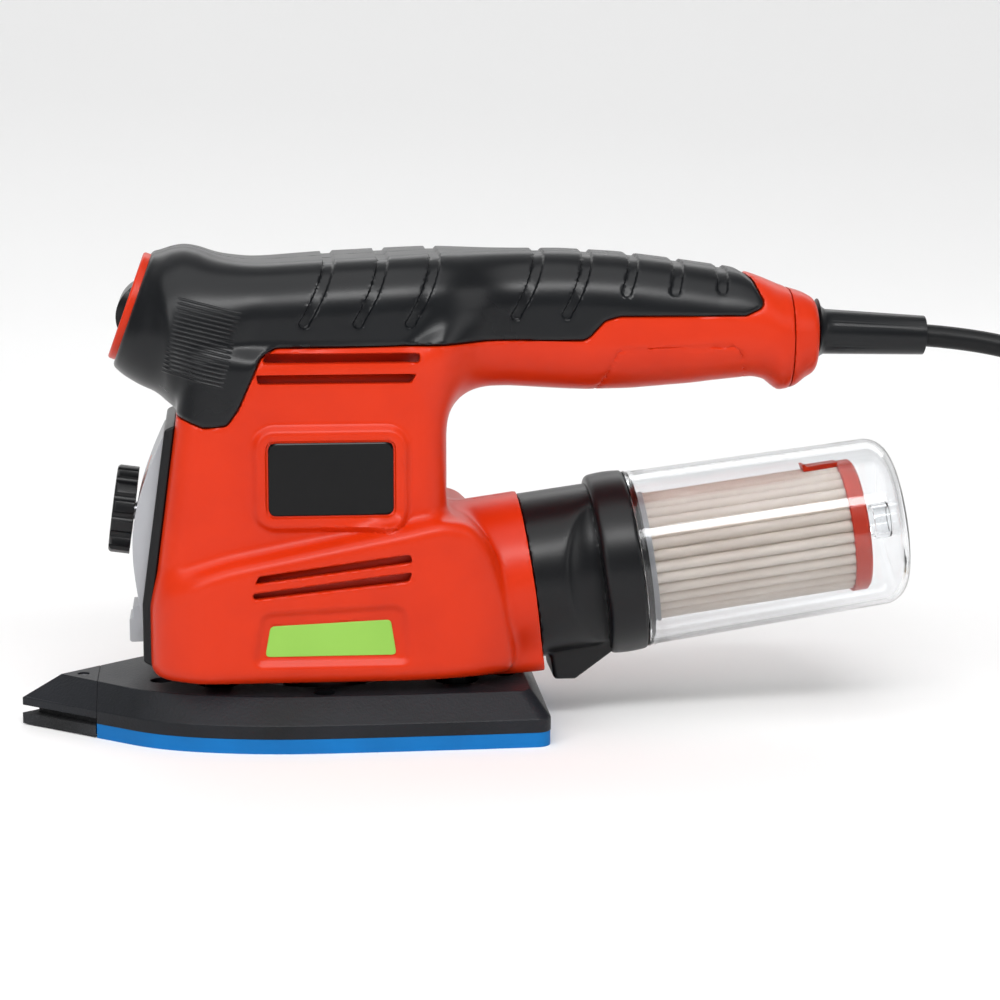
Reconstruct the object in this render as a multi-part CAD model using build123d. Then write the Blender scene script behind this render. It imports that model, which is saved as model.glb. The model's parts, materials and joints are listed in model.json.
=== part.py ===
from build123d import *
import os
from math import atan2, cos, degrees, pi, radians, sin, sqrt, tan

# Corded orbital sander with an iron-shaped platen, a long rubber-covered handle and a
# clear dust canister.  Millimetres, +Z up, nose towards -X, cord towards +X.
# The origin is where the drive spindle's axis meets the sanding plane.

# ---------------------------------------------------------------- driving dimensions
PAD_THICKNESS = 4.8
PLATEN_RIM_TOP = 9.2
PLATEN_TOP = 16.9
PLATEN_CHAMFER = 8.4
PLATEN_REAR = 73.0
PLATEN_NOSE = -99.4
PLATEN_SIDE = 47.6
NOSE_SEAM = -74.0
TIP_PAD_TOP = 4.0

BODY_BOTTOM = 20.6
SHELL_WALL = 2.6
SPLIT_GAP = 0.04
COLUMN_HALF_WIDTH = 33.0
COLUMN_REAR = 40.5
COLUMN_TOP = 128.7
FRONT_FOOT = (-54.8, 45.0)
FRONT_HEAD = (-46.7, 103.5)
BULGE_HALF_WIDTH = 40.0

HANDLE_WALL = 4.4
RUBBER = 2.0
BEZEL_CENTRE = (-62.1, 139.8)
BEZEL_TILT = 20.0
BEZEL_RADIUS = 18.3
BEZEL_BORE = 13.6
SEAM_X = 155.5

CANISTER_TILT = 8.0
CANISTER_POINT = (104.8, 52.6)
OUTLET_RADIUS = 28.6
OUTLET_BORE = 25.1
OUTLET_LENGTH = -35.9
OUTLET_BOTTOM = 18.2
CHIN_DROP = 28.0
RING_RADIUS = 30.5
RING_WIDTH = 12.7
NECK_RADIUS = 27.6
CUP_MOUTH_RADIUS = 29.4
CUP_END_RADIUS = 28.2
CUP_LENGTH = 90.0
CUP_WALL = 2.0
FILTER_RADIUS = 21.2
FILTER_LENGTH = 71.0
FILTER_RING_WIDTH = 5.7
PLEATS = 32

ECCENTRICITY = 1.0
SHAFT_RADIUS = 4.0
BEARING_RADIUS = 11.0
BEARING_WIDTH = 7.0
UPPER_BEARING_Z = 114.0
LOWER_BEARING_Z = 50.0
PIN_BEARING_Z = 9.6
STACK_BOTTOM = 62.0
STACK_TOP = 92.0
ARMATURE_RADIUS = 16.6
FIT = 0.05

KNOB_RADIUS = 14.5
KNOB_THICKNESS = 7.0
KNOB_HEIGHT = 70.4
KNOB_FLUTES = 14

CORD_RADIUS = 3.75
CORD_EXIT = (202.0, 0.0, 127.1)
COIL_CENTRE = (352.0, 0.0)
COIL_OUTER = 50.0
COIL_TURNS_PER_LAYER = 3
COIL_LAYERS = 2
CORD_ROUTE = [
    CORD_EXIT,
    (224.0, -0.5, 125.2),
    (248.0, -8.0, 117.5),
    (267.0, -25.0, 104.0),
    (281.0, -43.0, 82.0),
    (291.0, -54.0, 55.0),
    (304.0, -57.0, 28.0),
    (325.0, -53.5, 8.6),
    (352.0, -50.0, 3.75),
]

SCREW_PLACES = [
    (-34.5, 44.0), (-33.0, 99.5), (32.0, 27.5), (33.0, 99.5),
    (34.0, 59.5), (58.0, 120.0), (100.0, 120.0), (128.0, 119.2),
]

SCREW_RADIUS = 1.9
SCREW_HEAD_RADIUS = 3.9
SCREW_HEAD_DEPTH = 5.0
SCREW_REACH = 9.0
GROOVE_WIDTH = 3.5
GROOVE_DEPTH = 0.8
# top x, bottom x and bottom height of each groove in the grip
GROOVES = [
    (3.5, -4.2, 136.0), (20.5, 13.0, 136.0), (37.5, 30.0, 136.0), (72.0, 65.0, 137.0),
    (88.0, 81.5, 137.0), (104.0, 100.5, 144.5), (119.0, 116.5, 144.5), (134.0, 132.0, 144.5),
]
BEZEL_DEPTH = 5.0
ROCKER_PIVOT_DEPTH = 8.8
SPINDLE_RADIUS = 3.0
KNOB_STANDOFF = 9.9
PLATE_HALF_WIDTH = 20.0
BUTTON_Z = 35.0
BUTTON_HEIGHT = 12.0
BUTTON_HALF_WIDTH = 7.5
ARMATURE_SLOTS = 12
FAN_BLADES = 12
RING_END_X = 164.6
LEG_PLACES = [(-34.0, -17.0), (-34.0, 17.0), (44.0, -19.0), (44.0, 19.0)]
LEG_RADIUS = 4.6
LEG_BOTTOM = 9.5
LEG_CLEARANCE = 2.4
DUST_HOLES = [(-53.0, 12.0), (0.0, 34.0), (60.0, 12.0)]
CARRIER_RADIUS = 26.2
CARRIER_BOTTOM = 8.2
NOSE_UNDERSIDE = 6.6
NOSE_SCREW_X = -79.0
SPIGOT_RADIUS = 24.8
FILTER_START = 0.4
CORE_RADIUS = 16.6
TAIL_LENGTH = 32.0


# ---------------------------------------------------------------- planes and helpers
def across(x, z, tilt=0.0):
    """Plane across the tool at (x, z), its normal rearwards and dipped by tilt."""
    angle = radians(tilt)
    return Plane((x, 0, z), x_dir=(0, 1, 0), z_dir=(cos(angle), 0, -sin(angle)))


def canister_plane(along=0.0):
    """Plane square to the canister's axis, so far along it from the ring's rear face."""
    angle = radians(CANISTER_TILT)
    x = CANISTER_POINT[0] + along * cos(angle)
    z = CANISTER_POINT[1] + along * sin(angle)
    return across(x, z, -CANISTER_TILT)


def panel_plane(height, out=0.0):
    """Plane on the leaning front panel at a height, its normal forwards."""
    rise = FRONT_HEAD[1] - FRONT_FOOT[1]
    lean = FRONT_HEAD[0] - FRONT_FOOT[0]
    angle = atan2(lean, rise)
    x = FRONT_FOOT[0] + lean * (height - FRONT_FOOT[1]) / rise
    normal = (-cos(angle), 0, sin(angle))
    place = (x + normal[0] * out, 0, height + normal[2] * out)
    return Plane(place, x_dir=(0, 1, 0), z_dir=normal)


def outline(*parts):
    """Face bounded by a closed chain of lines and curves."""
    edges = []
    for part in parts:
        edges += part.edges()
    return make_face(edges)


def side_prism(points, half_width):
    """Prism across the tool from an outline of (x, z) points."""
    return extrude(Plane.XZ * outline(Polyline(*points, close=True)), half_width, both=True)


def tube(plane, outer, inner, length):
    """Round tube that starts on a plane and runs along its normal."""
    return extrude(plane * Circle(outer), length) - extrude(plane * Circle(inner), length)


def upright(radius, bottom, top, x=0.0, y=0.0):
    """Vertical cylinder between two heights."""
    return Pos(x, y, bottom) * extrude(Circle(radius), top - bottom)


def save(shape, node):
    """Write one sub-part."""
    export_step(shape, "parts/" + node + ".step")


# ---------------------------------------------------------------- outer forms
def column_form(inset):
    """Motor housing: a box with a leaning front and rounded upright edges."""
    foot = FRONT_FOOT[0] + inset
    head = FRONT_HEAD[0] + inset
    lean = (head - foot) / (FRONT_HEAD[1] - FRONT_FOOT[1])
    top_x = foot + lean * (COLUMN_TOP - FRONT_FOOT[1])
    bottom = BODY_BOTTOM + inset
    rear = COLUMN_REAR - inset
    points = [(foot, bottom), (foot, FRONT_FOOT[1]), (top_x, COLUMN_TOP), (rear, COLUMN_TOP), (rear, bottom)]
    body = side_prism(points, COLUMN_HALF_WIDTH - inset)
    uprights = [edge for edge in body.edges() if abs(edge.tangent_at(0.5).Z) > 0.9]
    return fillet(uprights, 9.0 - inset)


def bulge_form(inset):
    """Wide lower skirt with a rising ridge and a rounded rear end."""
    low = BODY_BOTTOM + inset
    front = FRONT_FOOT[0] + inset
    shoulder = (front + 1.0, 51.0 - inset)
    side = Plane.XZ * outline(
        Polyline((front, low), (front, FRONT_FOOT[1]), shoulder, (-30.0, 60.0 - inset), (25.0, 70.5 - inset)),
        Spline((25.0, 70.5 - inset), (47.0, 68.0 - inset), (60.0 - inset, 46.0), (64.0 - inset, low)),
        Line((64.0 - inset, low), (front, low)),
    )
    width = BULGE_HALF_WIDTH - inset
    corner = 20.0
    plan = outline(
        Line((front, -width + corner), (front, width - corner)),
        RadiusArc((front, width - corner), (front + corner, width), corner),
        Line((front + corner, width), (44.0, width)),
        Spline((44.0, width), (56.0, width - 3.5), (68.0, width - 10.0), tangents=((1, 0), (1, -0.6))),
        Line((68.0, width - 10.0), (68.0, -width + 10.0)),
        Spline((68.0, -width + 10.0), (56.0, -width + 3.5), (44.0, -width), tangents=((-1, -0.6), (-1, 0))),
        Line((44.0, -width), (front + corner, -width)),
        RadiusArc((front + corner, -width), (front, -width + corner), corner),
    )
    return extrude(side, 60.0, both=True) & extrude(plan, 100.0)


def handle_form(inset):
    """Head, palm grip and handle as one loft through rounded sections."""
    sections = []
    # x, middle height, tilt, half width, half height, corner, set back by the inset
    rows = [
        (BEZEL_CENTRE[0], BEZEL_CENTRE[1], BEZEL_TILT, 19.6, 19.6, 19.3, 1),
        (-55.0, 137.3, BEZEL_TILT, 24.5, 22.6, 20.0, 0),
        (-42.0, 132.0, 14.0, 28.5, 27.6, 21.0, 0),
        (-22.0, 130.6, 0.0, 31.5, 23.6, 19.0, 0),
        (10.0, 131.5, 0.0, 32.5, 24.0, 19.0, 0),
        (40.0, 133.4, 0.0, 29.0, 23.6, 18.0, 0),
        (62.0, 134.9, 0.0, 21.0, 21.7, 17.0, 0),
        (90.0, 133.4, 0.0, 20.0, 22.4, 16.0, 0),
        (118.0, 132.5, 0.0, 20.0, 20.2, 16.0, 0),
        (138.0, 132.2, 0.0, 19.5, 17.6, 15.0, 0),
        (SEAM_X, 128.5, -14.0, 18.0, 16.6, 14.0, -1),
    ]
    for x, z, tilt, half_width, half_height, corner, back in rows:
        place = across(x + back * inset, z, tilt)
        section = RectangleRounded(2 * (half_width - inset), 2 * (half_height - inset), corner - inset)
        sections.append(place * section)
    return loft(sections)


def outlet_form(inset):
    """Neck that carries the dust canister, flat below to clear the platen."""
    start = canister_plane(OUTLET_LENGTH - 30.0)
    if inset > 0:
        return extrude(start * Circle(OUTLET_BORE), 30.0)
    neck = extrude(start * Circle(OUTLET_RADIUS), 30.0)
    chin = canister_plane(OUTLET_LENGTH - 14.0) * Pos(0, -CHIN_DROP / 2, 0) * RectangleRounded(44.0, CHIN_DROP, 5.0)
    neck += extrude(chin, 14.0)
    below_neck = Pos(60.0, 0, OUTLET_BOTTOM - 20.0) * Box(80.0, 80.0, 40.0)
    below_body = Pos(42.0, 0, BODY_BOTTOM - 20.0) * Box(40.0, 80.0, 40.0)
    return neck - below_neck - below_body


def rubber_region():
    """Side outline of everything that the rubber covers."""
    boundary = [
        (-90.0, 118.0), (-66.0, 118.0), (-58.0, 112.5), (-47.0, 107.5), (-37.0, 103.6), (-31.0, 104.4),
        (-27.0, 108.0), (-19.5, 125.0), (-15.0, 128.7), (88.0, 128.7), (95.0, 136.7), (140.0, 136.7),
        (144.6, 141.0), (138.4, 152.0), (138.4, 175.0), (-90.0, 175.0),
    ]
    return side_prism(boundary, 60.0)


def upper_vents():
    """Two level air slots through both walls of the column."""
    slots = []
    for height in (125.4, 118.9):
        slots.append(Pos(6.5, 0, height) * Box(50.0, 90.0, 2.9))
    return slots


def lower_vents():
    """Two rising air slots through both walls of the skirt."""
    slots = []
    for height in (59.1, 53.0):
        slots.append(Pos(3.5, 0, height) * Rot(0, -7.0, 0) * Box(50.0, 100.0, 2.8))
    return slots


def badge_place(x, z, side, depth):
    """Plane on the outside of the column or skirt, facing out to one side."""
    return Plane((x, side * depth, z), x_dir=(-side, 0, 0), z_dir=(0, side, 0))


BADGE_CENTRE = (2.8, 86.9)
BADGE_SIZE = (41.0, 24.6)
LABEL_CENTRE = (2.0, 36.0)
LABEL_SIZE = (42.0, 11.8)
PLATE_DEPTH = 0.8


def badge(side):
    """Rounded plate let into the column's side."""
    place = badge_place(BADGE_CENTRE[0], BADGE_CENTRE[1], side, COLUMN_HALF_WIDTH - PLATE_DEPTH)
    return extrude(place * RectangleRounded(BADGE_SIZE[0], BADGE_SIZE[1], 3.0), PLATE_DEPTH)


def side_label(side):
    """Slanted label let into the skirt's side."""
    place = badge_place(LABEL_CENTRE[0], LABEL_CENTRE[1], side, BULGE_HALF_WIDTH - PLATE_DEPTH)
    half_length = LABEL_SIZE[0] / 2
    half_height = LABEL_SIZE[1] / 2
    front = side * half_length
    corners = [
        (front, -half_height), (front * 0.97, half_height - 1.6), (-front * 0.93, half_height), (-front, -half_height),
    ]
    return extrude(place * outline(Polyline(*corners, close=True)), PLATE_DEPTH)


# ---------------------------------------------------------------- shells and rubber
def bulkhead(bottom, top, hole):
    """Wall between the shells that seats a bearing or steadies the stator."""
    slab = Pos(-4.0, 0, (bottom + top) / 2) * Box(86.0, 62.0, top - bottom)
    wall = slab - upright(hole, bottom - 1, top + 1)
    for x in (-36.0, 30.0):
        wall -= upright(7.0, bottom - 1, top + 1, x)
    return wall


def across_cylinder(x, z, radius, start, end):
    """Cylinder across the tool, from one y to a greater one."""
    place = Plane((x, start, z), x_dir=(1, 0, 0), z_dir=(0, 1, 0))
    return extrude(place * Circle(radius), end - start)


def body_width(x, z):
    """Half width of the housing where a screw's head sits."""
    if z < 60.0:
        return BULGE_HALF_WIDTH
    if x < COLUMN_REAR:
        return COLUMN_HALF_WIDTH
    return OUTLET_RADIUS if z < 100.0 else 20.0


def screw_bore(x, z):
    """Bore for one housing screw: open at its head on the right, blind on the left."""
    seat = body_width(x, z) - SCREW_HEAD_DEPTH
    shank = across_cylinder(x, z, SCREW_RADIUS, -SCREW_REACH, seat + 1.0)
    return shank + across_cylinder(x, z, SCREW_HEAD_RADIUS, seat, 60.0)


def housing_screw(x, z):
    """Pan-headed screw that joins the two shells."""
    seat = body_width(x, z) - SCREW_HEAD_DEPTH
    shank = across_cylinder(x, z, SCREW_RADIUS, -SCREW_REACH + 1.0, seat)
    head = across_cylinder(x, z, SCREW_HEAD_RADIUS - 0.2, seat, seat + 2.4)
    socket = across_cylinder(x, z, 1.4, seat + 1.0, seat + 3.0)
    return shank + head - socket


def half(shape, side):
    """Keep one side of the split plane, less half the hairline gap between the shells."""
    return shape & (Pos(60.0, side * (100.0 + SPLIT_GAP / 2), 90.0) * Box(400.0, 200.0, 300.0))


def grip_grooves():
    """Slanted shallow channels round the top of the rubber."""
    grooves = []
    for top_x, bottom_x, bottom_z in GROOVES:
        middle = ((top_x + bottom_x) / 2, 0, (160.0 + bottom_z) / 2)
        slant = degrees(atan2(top_x - bottom_x, 160.0 - bottom_z))
        length = sqrt((top_x - bottom_x) ** 2 + (160.0 - bottom_z) ** 2)
        grooves.append(Pos(*middle) * Rot(0, slant, 0) * Box(GROOVE_WIDTH, 90.0, length))
    return grooves


def housing():
    """The rubber grip and the two shells, each as a whole before the split."""
    handle_outer = handle_form(0.0)
    covered = rubber_region() - handle_form(RUBBER)
    rubber = handle_outer & covered
    skin = rubber - handle_form(GROOVE_DEPTH)
    for groove in grip_grooves():
        rubber -= skin & groove
    rubber -= bezel_seat()
    outer = column_form(0.0) + bulge_form(0.0) + handle_outer + outlet_form(0.0)
    inner = column_form(SHELL_WALL) + bulge_form(SHELL_WALL) + handle_form(HANDLE_WALL) + outlet_form(SHELL_WALL)
    fittings = bulkhead(UPPER_BEARING_Z, UPPER_BEARING_Z + BEARING_WIDTH, BEARING_RADIUS)
    fittings += bulkhead(LOWER_BEARING_Z, LOWER_BEARING_Z + BEARING_WIDTH, BEARING_RADIUS)
    fittings += bulkhead(STACK_TOP, STACK_TOP + 2.4, 28.6)
    for x, z in SCREW_PLACES:
        fittings += across_cylinder(x, z, 4.6, -45.0, 45.0)
    shell = (outer - inner) + (fittings & inner)
    shell -= covered
    for x, z in SCREW_PLACES:
        shell -= screw_bore(x, z)
    for cut in upper_vents() + lower_vents() + panel_openings() + [bezel_seat()]:
        shell -= cut
    for side in (-1, 1):
        shell -= badge(side)
        shell -= side_label(side)
    shell -= upright(24.0, BODY_BOTTOM - 2, BODY_BOTTOM + SHELL_WALL + 1)
    shell -= extrude(relief_plane(-18.0) * Circle(10.7), 30.0)
    for x, y in LEG_PLACES:
        shell -= upright(LEG_RADIUS, BODY_BOTTOM - 2, BODY_BOTTOM + SHELL_WALL + 1, x, y)
    return shell, rubber


# ---------------------------------------------------------------- switch in the head
def bezel_plane(depth):
    """Plane at a depth behind the face of the switch bezel, its normal rearwards."""
    angle = radians(BEZEL_TILT)
    x = BEZEL_CENTRE[0] + depth * cos(angle)
    z = BEZEL_CENTRE[1] - depth * sin(angle)
    return across(x, z, BEZEL_TILT)


def bezel_seat():
    """Round hole in the head for the bezel, with a smaller one behind it for the switch."""
    seat = extrude(bezel_plane(-3.0) * Circle(BEZEL_RADIUS), 3.0 + BEZEL_DEPTH)
    return seat + extrude(bezel_plane(0) * Circle(BEZEL_BORE), 14.0)


def switch_bezel():
    """Ring with a rounded front that frames the rocker."""
    ring = tube(bezel_plane(-0.4), BEZEL_RADIUS - 0.1, BEZEL_BORE, BEZEL_DEPTH + 0.4)
    front = [edge for edge in ring.edges() if edge.center().X < BEZEL_CENTRE[0]]
    return fillet(front, 0.9)


def power_rocker():
    """Round rocker with a domed face and a pivot hole."""
    pivot = bezel_plane(ROCKER_PIVOT_DEPTH)
    disc = extrude(bezel_plane(-3.0) * Circle(BEZEL_BORE - 1.6), 3.0 + 11.2)
    centre = pivot.origin
    dome = Pos(centre.X, 0, centre.Z) * Rot(90, 0, 0) * Cylinder(11.6, 40.0)
    hole = Pos(centre.X, 0, centre.Z) * Rot(90, 0, 0) * Cylinder(1.5 + FIT, 40.0)
    return (disc & dome) - hole


def switch_module():
    """Snap switch behind the rocker, with ears that carry the pivot."""
    body = extrude(bezel_plane(16.0) * RectangleRounded(20.0, 20.0, 2.0), 13.0)
    body += extrude(bezel_plane(14.0) * Circle(BEZEL_BORE - 0.2), 2.0)
    pivot = bezel_plane(ROCKER_PIVOT_DEPTH).origin
    for side in (-1, 1):
        ear = bezel_plane(ROCKER_PIVOT_DEPTH - 2.0) * Pos(side * 12.9, 0, 0) * Rectangle(0.9, 4.0)
        body += extrude(ear, 16.0 - ROCKER_PIVOT_DEPTH)
    return body + Pos(pivot.X, 0, pivot.Z) * Rot(90, 0, 0) * Cylinder(1.5, 25.8)


# ---------------------------------------------------------------- front panel
def panel_openings():
    """Holes in the column's front for the selector spindle and the release button."""
    spindle = extrude(panel_plane(KNOB_HEIGHT, -6.0) * Circle(SPINDLE_RADIUS + 0.3), 20.0)
    button = Pos(-54.0, 0, BUTTON_Z) * Box(16.0, 2 * BUTTON_HALF_WIDTH + 0.6, BUTTON_HEIGHT + 0.6)
    return [spindle, button]


def front_trim():
    """Black frame round the selector plate."""
    foot = FRONT_FOOT[0]
    profile = [
        (foot, 24.0), (foot - 3.5, 26.0), (foot - 3.5, FRONT_FOOT[1]),
        (FRONT_HEAD[0] - 3.5, 102.0), (FRONT_HEAD[0], FRONT_HEAD[1]), FRONT_FOOT,
    ]
    frame = side_prism(profile, 25.0)
    window = Pos(-54.0, 0, 63.0) * Box(30.0, 2 * PLATE_HALF_WIDTH, 72.0)
    return frame - window


def selector_plate():
    """Plate that bulges under the knob and runs down round the release button."""
    foot = FRONT_FOOT[0]
    back_top = (FRONT_HEAD[0] - 0.63, 99.0)
    face = outline(
        Polyline((foot - 3.5, 27.0), (foot, 27.0), FRONT_FOOT, back_top, (FRONT_HEAD[0] - 4.3, 98.8)),
        Spline((FRONT_HEAD[0] - 4.3, 98.8), (-57.0, 84.7), (-60.8, 70.0), (-61.0, 56.0), (-58.9, 40.0), (foot - 3.5, 27.0)),
    )
    plate = extrude(Plane.XZ * face, PLATE_HALF_WIDTH, both=True)
    for cut in panel_openings():
        plate -= cut
    return plate


def selector_knob():
    """Fluted round knob with a slightly smaller domed cap."""
    base = panel_plane(KNOB_HEIGHT, KNOB_STANDOFF)
    knob = extrude(base * Circle(KNOB_RADIUS), KNOB_THICKNESS)
    knob = fillet(knob.edges().sort_by(Axis.X)[:1], 1.2)
    for index in range(KNOB_FLUTES):
        turn = Rot(0, 0, 360.0 * index / KNOB_FLUTES)
        flute = base * turn * Pos(KNOB_RADIUS + 1.0, 0, -1.0)
        knob -= extrude(flute * Circle(1.9), KNOB_THICKNESS + 2.0)
    return knob - extrude(base * Pos(0, 0, -1.0) * Circle(SPINDLE_RADIUS), 4.0)


def selector_spindle():
    """Round spindle from the knob into the selector switch."""
    return extrude(panel_plane(KNOB_HEIGHT, -10.0) * Circle(SPINDLE_RADIUS), 10.0 + KNOB_STANDOFF + 3.0)


def selector_switch():
    """Rotary switch behind the front panel."""
    body = extrude(panel_plane(KNOB_HEIGHT, -14.5) * RectangleRounded(26.0, 22.0, 2.0), 11.0)
    return body - extrude(panel_plane(KNOB_HEIGHT, -10.5) * Circle(SPINDLE_RADIUS + FIT), 12.0)


def release_button():
    """Two-tier push button with a flange behind the panel and a spring bore."""
    lower = Pos(-57.2, 0, BUTTON_Z - 2.0) * Box(12.0, 2 * BUTTON_HALF_WIDTH, 8.0)
    upper = Pos(-56.6, 0, BUTTON_Z + 4.0) * Box(10.8, 2 * BUTTON_HALF_WIDTH, 4.0)
    flange = Pos(-51.0, 0, BUTTON_Z) * Box(1.6, 2 * BUTTON_HALF_WIDTH + 3.0, BUTTON_HEIGHT + 3.0)
    button = fillet((lower + upper).edges().filter_by(Axis.Y).sort_by(Axis.X)[:2], 0.8) + flange
    return button - (Pos(-53.5, 0, BUTTON_Z) * Rot(0, 90, 0) * Cylinder(2.9, 8.0))


def coil_spring(start, direction, length, radius, wire, turns):
    """Round-wire compression spring along a direction."""
    path = Helix(length / turns, length, radius)
    section = Plane(path @ 0, z_dir=path % 0) * Circle(wire)
    spring = sweep(section, path=path)
    return Plane(start, z_dir=direction) * spring


def release_guide():
    """Block between the shells that backs the release spring."""
    return Pos(-42.5, 0, BUTTON_Z) * Box(5.0, 20.0, 14.0)


# ---------------------------------------------------------------- motor
def bearing(bottom, x=0.0):
    """Shielded ball bearing."""
    ring = upright(BEARING_RADIUS, bottom, bottom + BEARING_WIDTH, x) - upright(SHAFT_RADIUS, bottom - 1, bottom + 9, x)
    for low in (bottom - 1.0, bottom + BEARING_WIDTH - 0.5):
        ring -= upright(9.0, low, low + 1.5, x) - upright(5.8, low, low + 1.5, x)
    return ring


def motor_stator():
    """Square lamination stack with a round bore."""
    stack = Pos(0, 0, STACK_BOTTOM) * extrude(RectangleRounded(56.0, 56.0, 12.0), STACK_TOP - STACK_BOTTOM)
    stack -= upright(ARMATURE_RADIUS + 0.6, STACK_BOTTOM - 1, STACK_TOP + 1)
    for side in (-1, 1):
        stack -= Pos(0, side * 20.5, (STACK_BOTTOM + STACK_TOP) / 2) * Box(30.0, 5.0, 40.0)
    return stack


def field_windings():
    """Two copper coils that pass through the stator's slots."""
    coils = []
    for side in (-1, 1):
        ends = Pos(0, side * 20.5, 77.0) * Box(29.0, 4.4, 39.0)
        coils.append(fillet(ends.edges().filter_by(Axis.Y), 3.0))
    return Compound(children=coils)


def armature_core():
    """Slotted lamination stack on the shaft."""
    core = upright(ARMATURE_RADIUS, STACK_BOTTOM, STACK_TOP) - upright(SHAFT_RADIUS, 60, 94)
    for index in range(ARMATURE_SLOTS):
        slot = Pos(ARMATURE_RADIUS - 2.0, 0, 77.0) * Box(5.0, 2.2, 32.0)
        core -= Rot(0, 0, 360.0 * index / ARMATURE_SLOTS) * slot
    return core


def armature_windings():
    """Copper end turns above and below the core."""
    lower = upright(14.0, 58.0, STACK_BOTTOM) - upright(SHAFT_RADIUS, 50, 70)
    upper = upright(14.0, STACK_TOP, 96.5) - upright(SHAFT_RADIUS, 90, 99)
    return Compound(children=[lower, upper])


def commutator():
    """Ring of copper bars."""
    ring = upright(9.0, 98.0, 111.0) - upright(SHAFT_RADIUS, 97, 112)
    for index in range(ARMATURE_SLOTS * 2):
        ring -= Rot(0, 0, 180.0 * index / ARMATURE_SLOTS) * Pos(9.0, 0, 104.5) * Box(1.6, 0.4, 20.0)
    return ring


def motor_shaft():
    """Steel shaft with a flange and an offset drive pin below."""
    shaft = upright(SHAFT_RADIUS, 20.0, UPPER_BEARING_Z + BEARING_WIDTH + 1.0)
    shaft += upright(8.0, 19.0, 23.0)
    return shaft + upright(SHAFT_RADIUS - FIT, PIN_BEARING_Z, 19.5, ECCENTRICITY)


def cooling_fan():
    """Radial fan that also draws the dust."""
    fan = upright(24.0, 44.0, 45.5) + upright(7.0, 36.0, 45.0)
    for index in range(FAN_BLADES):
        blade = Pos(15.5, 0, 40.3) * Rot(0, 0, 18.0) * Box(16.0, 1.4, 8.4)
        fan += Rot(0, 0, 360.0 * index / FAN_BLADES) * blade
    return fan - upright(SHAFT_RADIUS, 30, 50)


def counterweight():
    """Half disc that balances the platen, opposite the drive pin."""
    disc = upright(20.0, 25.0, 33.0) & (Pos(-15.0, 0, 29.0) * Box(30.0, 50.0, 20.0))
    return disc + upright(8.0, 25.0, 33.0) - upright(SHAFT_RADIUS, 20, 40)


def brush_holders():
    """Two brass boxes that aim at the commutator."""
    holders = []
    for side in (-1, 1):
        case = Pos(0, side * 19.9, 104.5) * Box(9.0, 18.0, 9.0)
        holders.append(case - Pos(0, side * 19.0, 104.5) * Box(6.4, 22.0, 6.4))
    return Compound(children=holders)


def carbon_brushes():
    """Two carbon blocks."""
    return Compound(children=[Pos(0, side * 14.9, 104.5) * Box(6.3, 11.0, 6.3) for side in (-1, 1)])


def brush_springs():
    """Two springs behind the brushes."""
    springs = []
    for side in (-1, 1):
        springs.append(coil_spring((0, side * 21.0, 104.5), (0, side, 0), 6.0, 2.2, 0.35, 5))
    return Compound(children=springs)


def fan_housing():
    """Scroll round the fan with a duct to the dust outlet."""
    wall = upright(28.5, 34.0, 48.0)
    duct = Pos(34.0, 0, 41.0) * Box(34.0, 30.0, 14.0)
    room = upright(26.0, 35.5, 49.0) + Pos(40.0, 0, 41.0) * Box(50.0, 27.0, 11.0)
    lid = upright(26.0, 46.5, 48.0) - upright(12.0, 46, 49)
    return wall + duct - room - upright(12.0, 30, 40) + lid


# ---------------------------------------------------------------- handle fittings
def rear_end_ring():
    """Cap that closes the two shells round the strain relief."""
    rows = [(SEAM_X, 128.5, -14.0, 17.2, 15.8, 14.0), (160.6, 128.2, -6.0, 16.0, 14.6, 13.0),
            (RING_END_X, 128.0, 0.0, 12.6, 10.6, 10.2)]
    cap = loft([across(x, z, tilt) * RectangleRounded(2 * w, 2 * h, r) for x, z, tilt, w, h, r in rows])
    return cap - extrude(relief_plane(-14.0) * Circle(8.3), 20.0)


RELIEF_START = (164.0, 128.9)
RELIEF_LENGTH = 38.0


def relief_plane(along):
    """Plane square to the strain relief's axis, so far along it."""
    dip = atan2(RELIEF_START[1] - CORD_EXIT[2], CORD_EXIT[0] - RELIEF_START[0])
    x = RELIEF_START[0] + along * cos(dip)
    z = RELIEF_START[1] - along * sin(dip)
    return across(x, z, degrees(dip))


def strain_relief():
    """Flared rubber boot that tapers to the cord, with a flange inside the cap."""
    boot = extrude(relief_plane(-12.0) * Circle(8.3), 13.0)
    boot += extrude(relief_plane(-15.0) * Circle(10.5), 3.0)
    boot += loft([relief_plane(1.4) * Circle(11.0), relief_plane(2.5) * Circle(8.7), relief_plane(4.2) * Circle(7.5)])
    boot += extrude(relief_plane(0.8) * Circle(8.3), 1.2)
    boot += loft([relief_plane(4.2) * Circle(7.5), relief_plane(RELIEF_LENGTH) * Circle(6.5)])
    return boot - extrude(relief_plane(-20.0) * Circle(CORD_RADIUS), 80.0)


def inner_cord():
    """Stretch of the cord inside the strain relief and the handle."""
    return extrude(relief_plane(-34.0) * Circle(CORD_RADIUS), 34.0 + RELIEF_LENGTH)


def cord_clamp():
    """Bar that holds the cord inside the handle, with its two screws' holes."""
    place = relief_plane(-30.0)
    bar = extrude(place * Pos(0, 3.6, 0) * RectangleRounded(24.0, 7.0, 1.5), 9.0)
    bar -= extrude(relief_plane(-40.0) * Circle(CORD_RADIUS), 30.0)
    return bar


def control_board():
    """Circuit board in the handle with its capacitor and coil."""
    board = Pos(92.0, 0, 127.0) * Box(44.0, 22.0, 1.6)
    capacitor = Pos(82.0, 0, 134.0) * Box(14.0, 12.0, 12.5)
    choke = Pos(102.0, 0, 133.0) * Rot(0, 90, 0) * Cylinder(5.3, 14.0)
    return board + capacitor + choke


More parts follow.
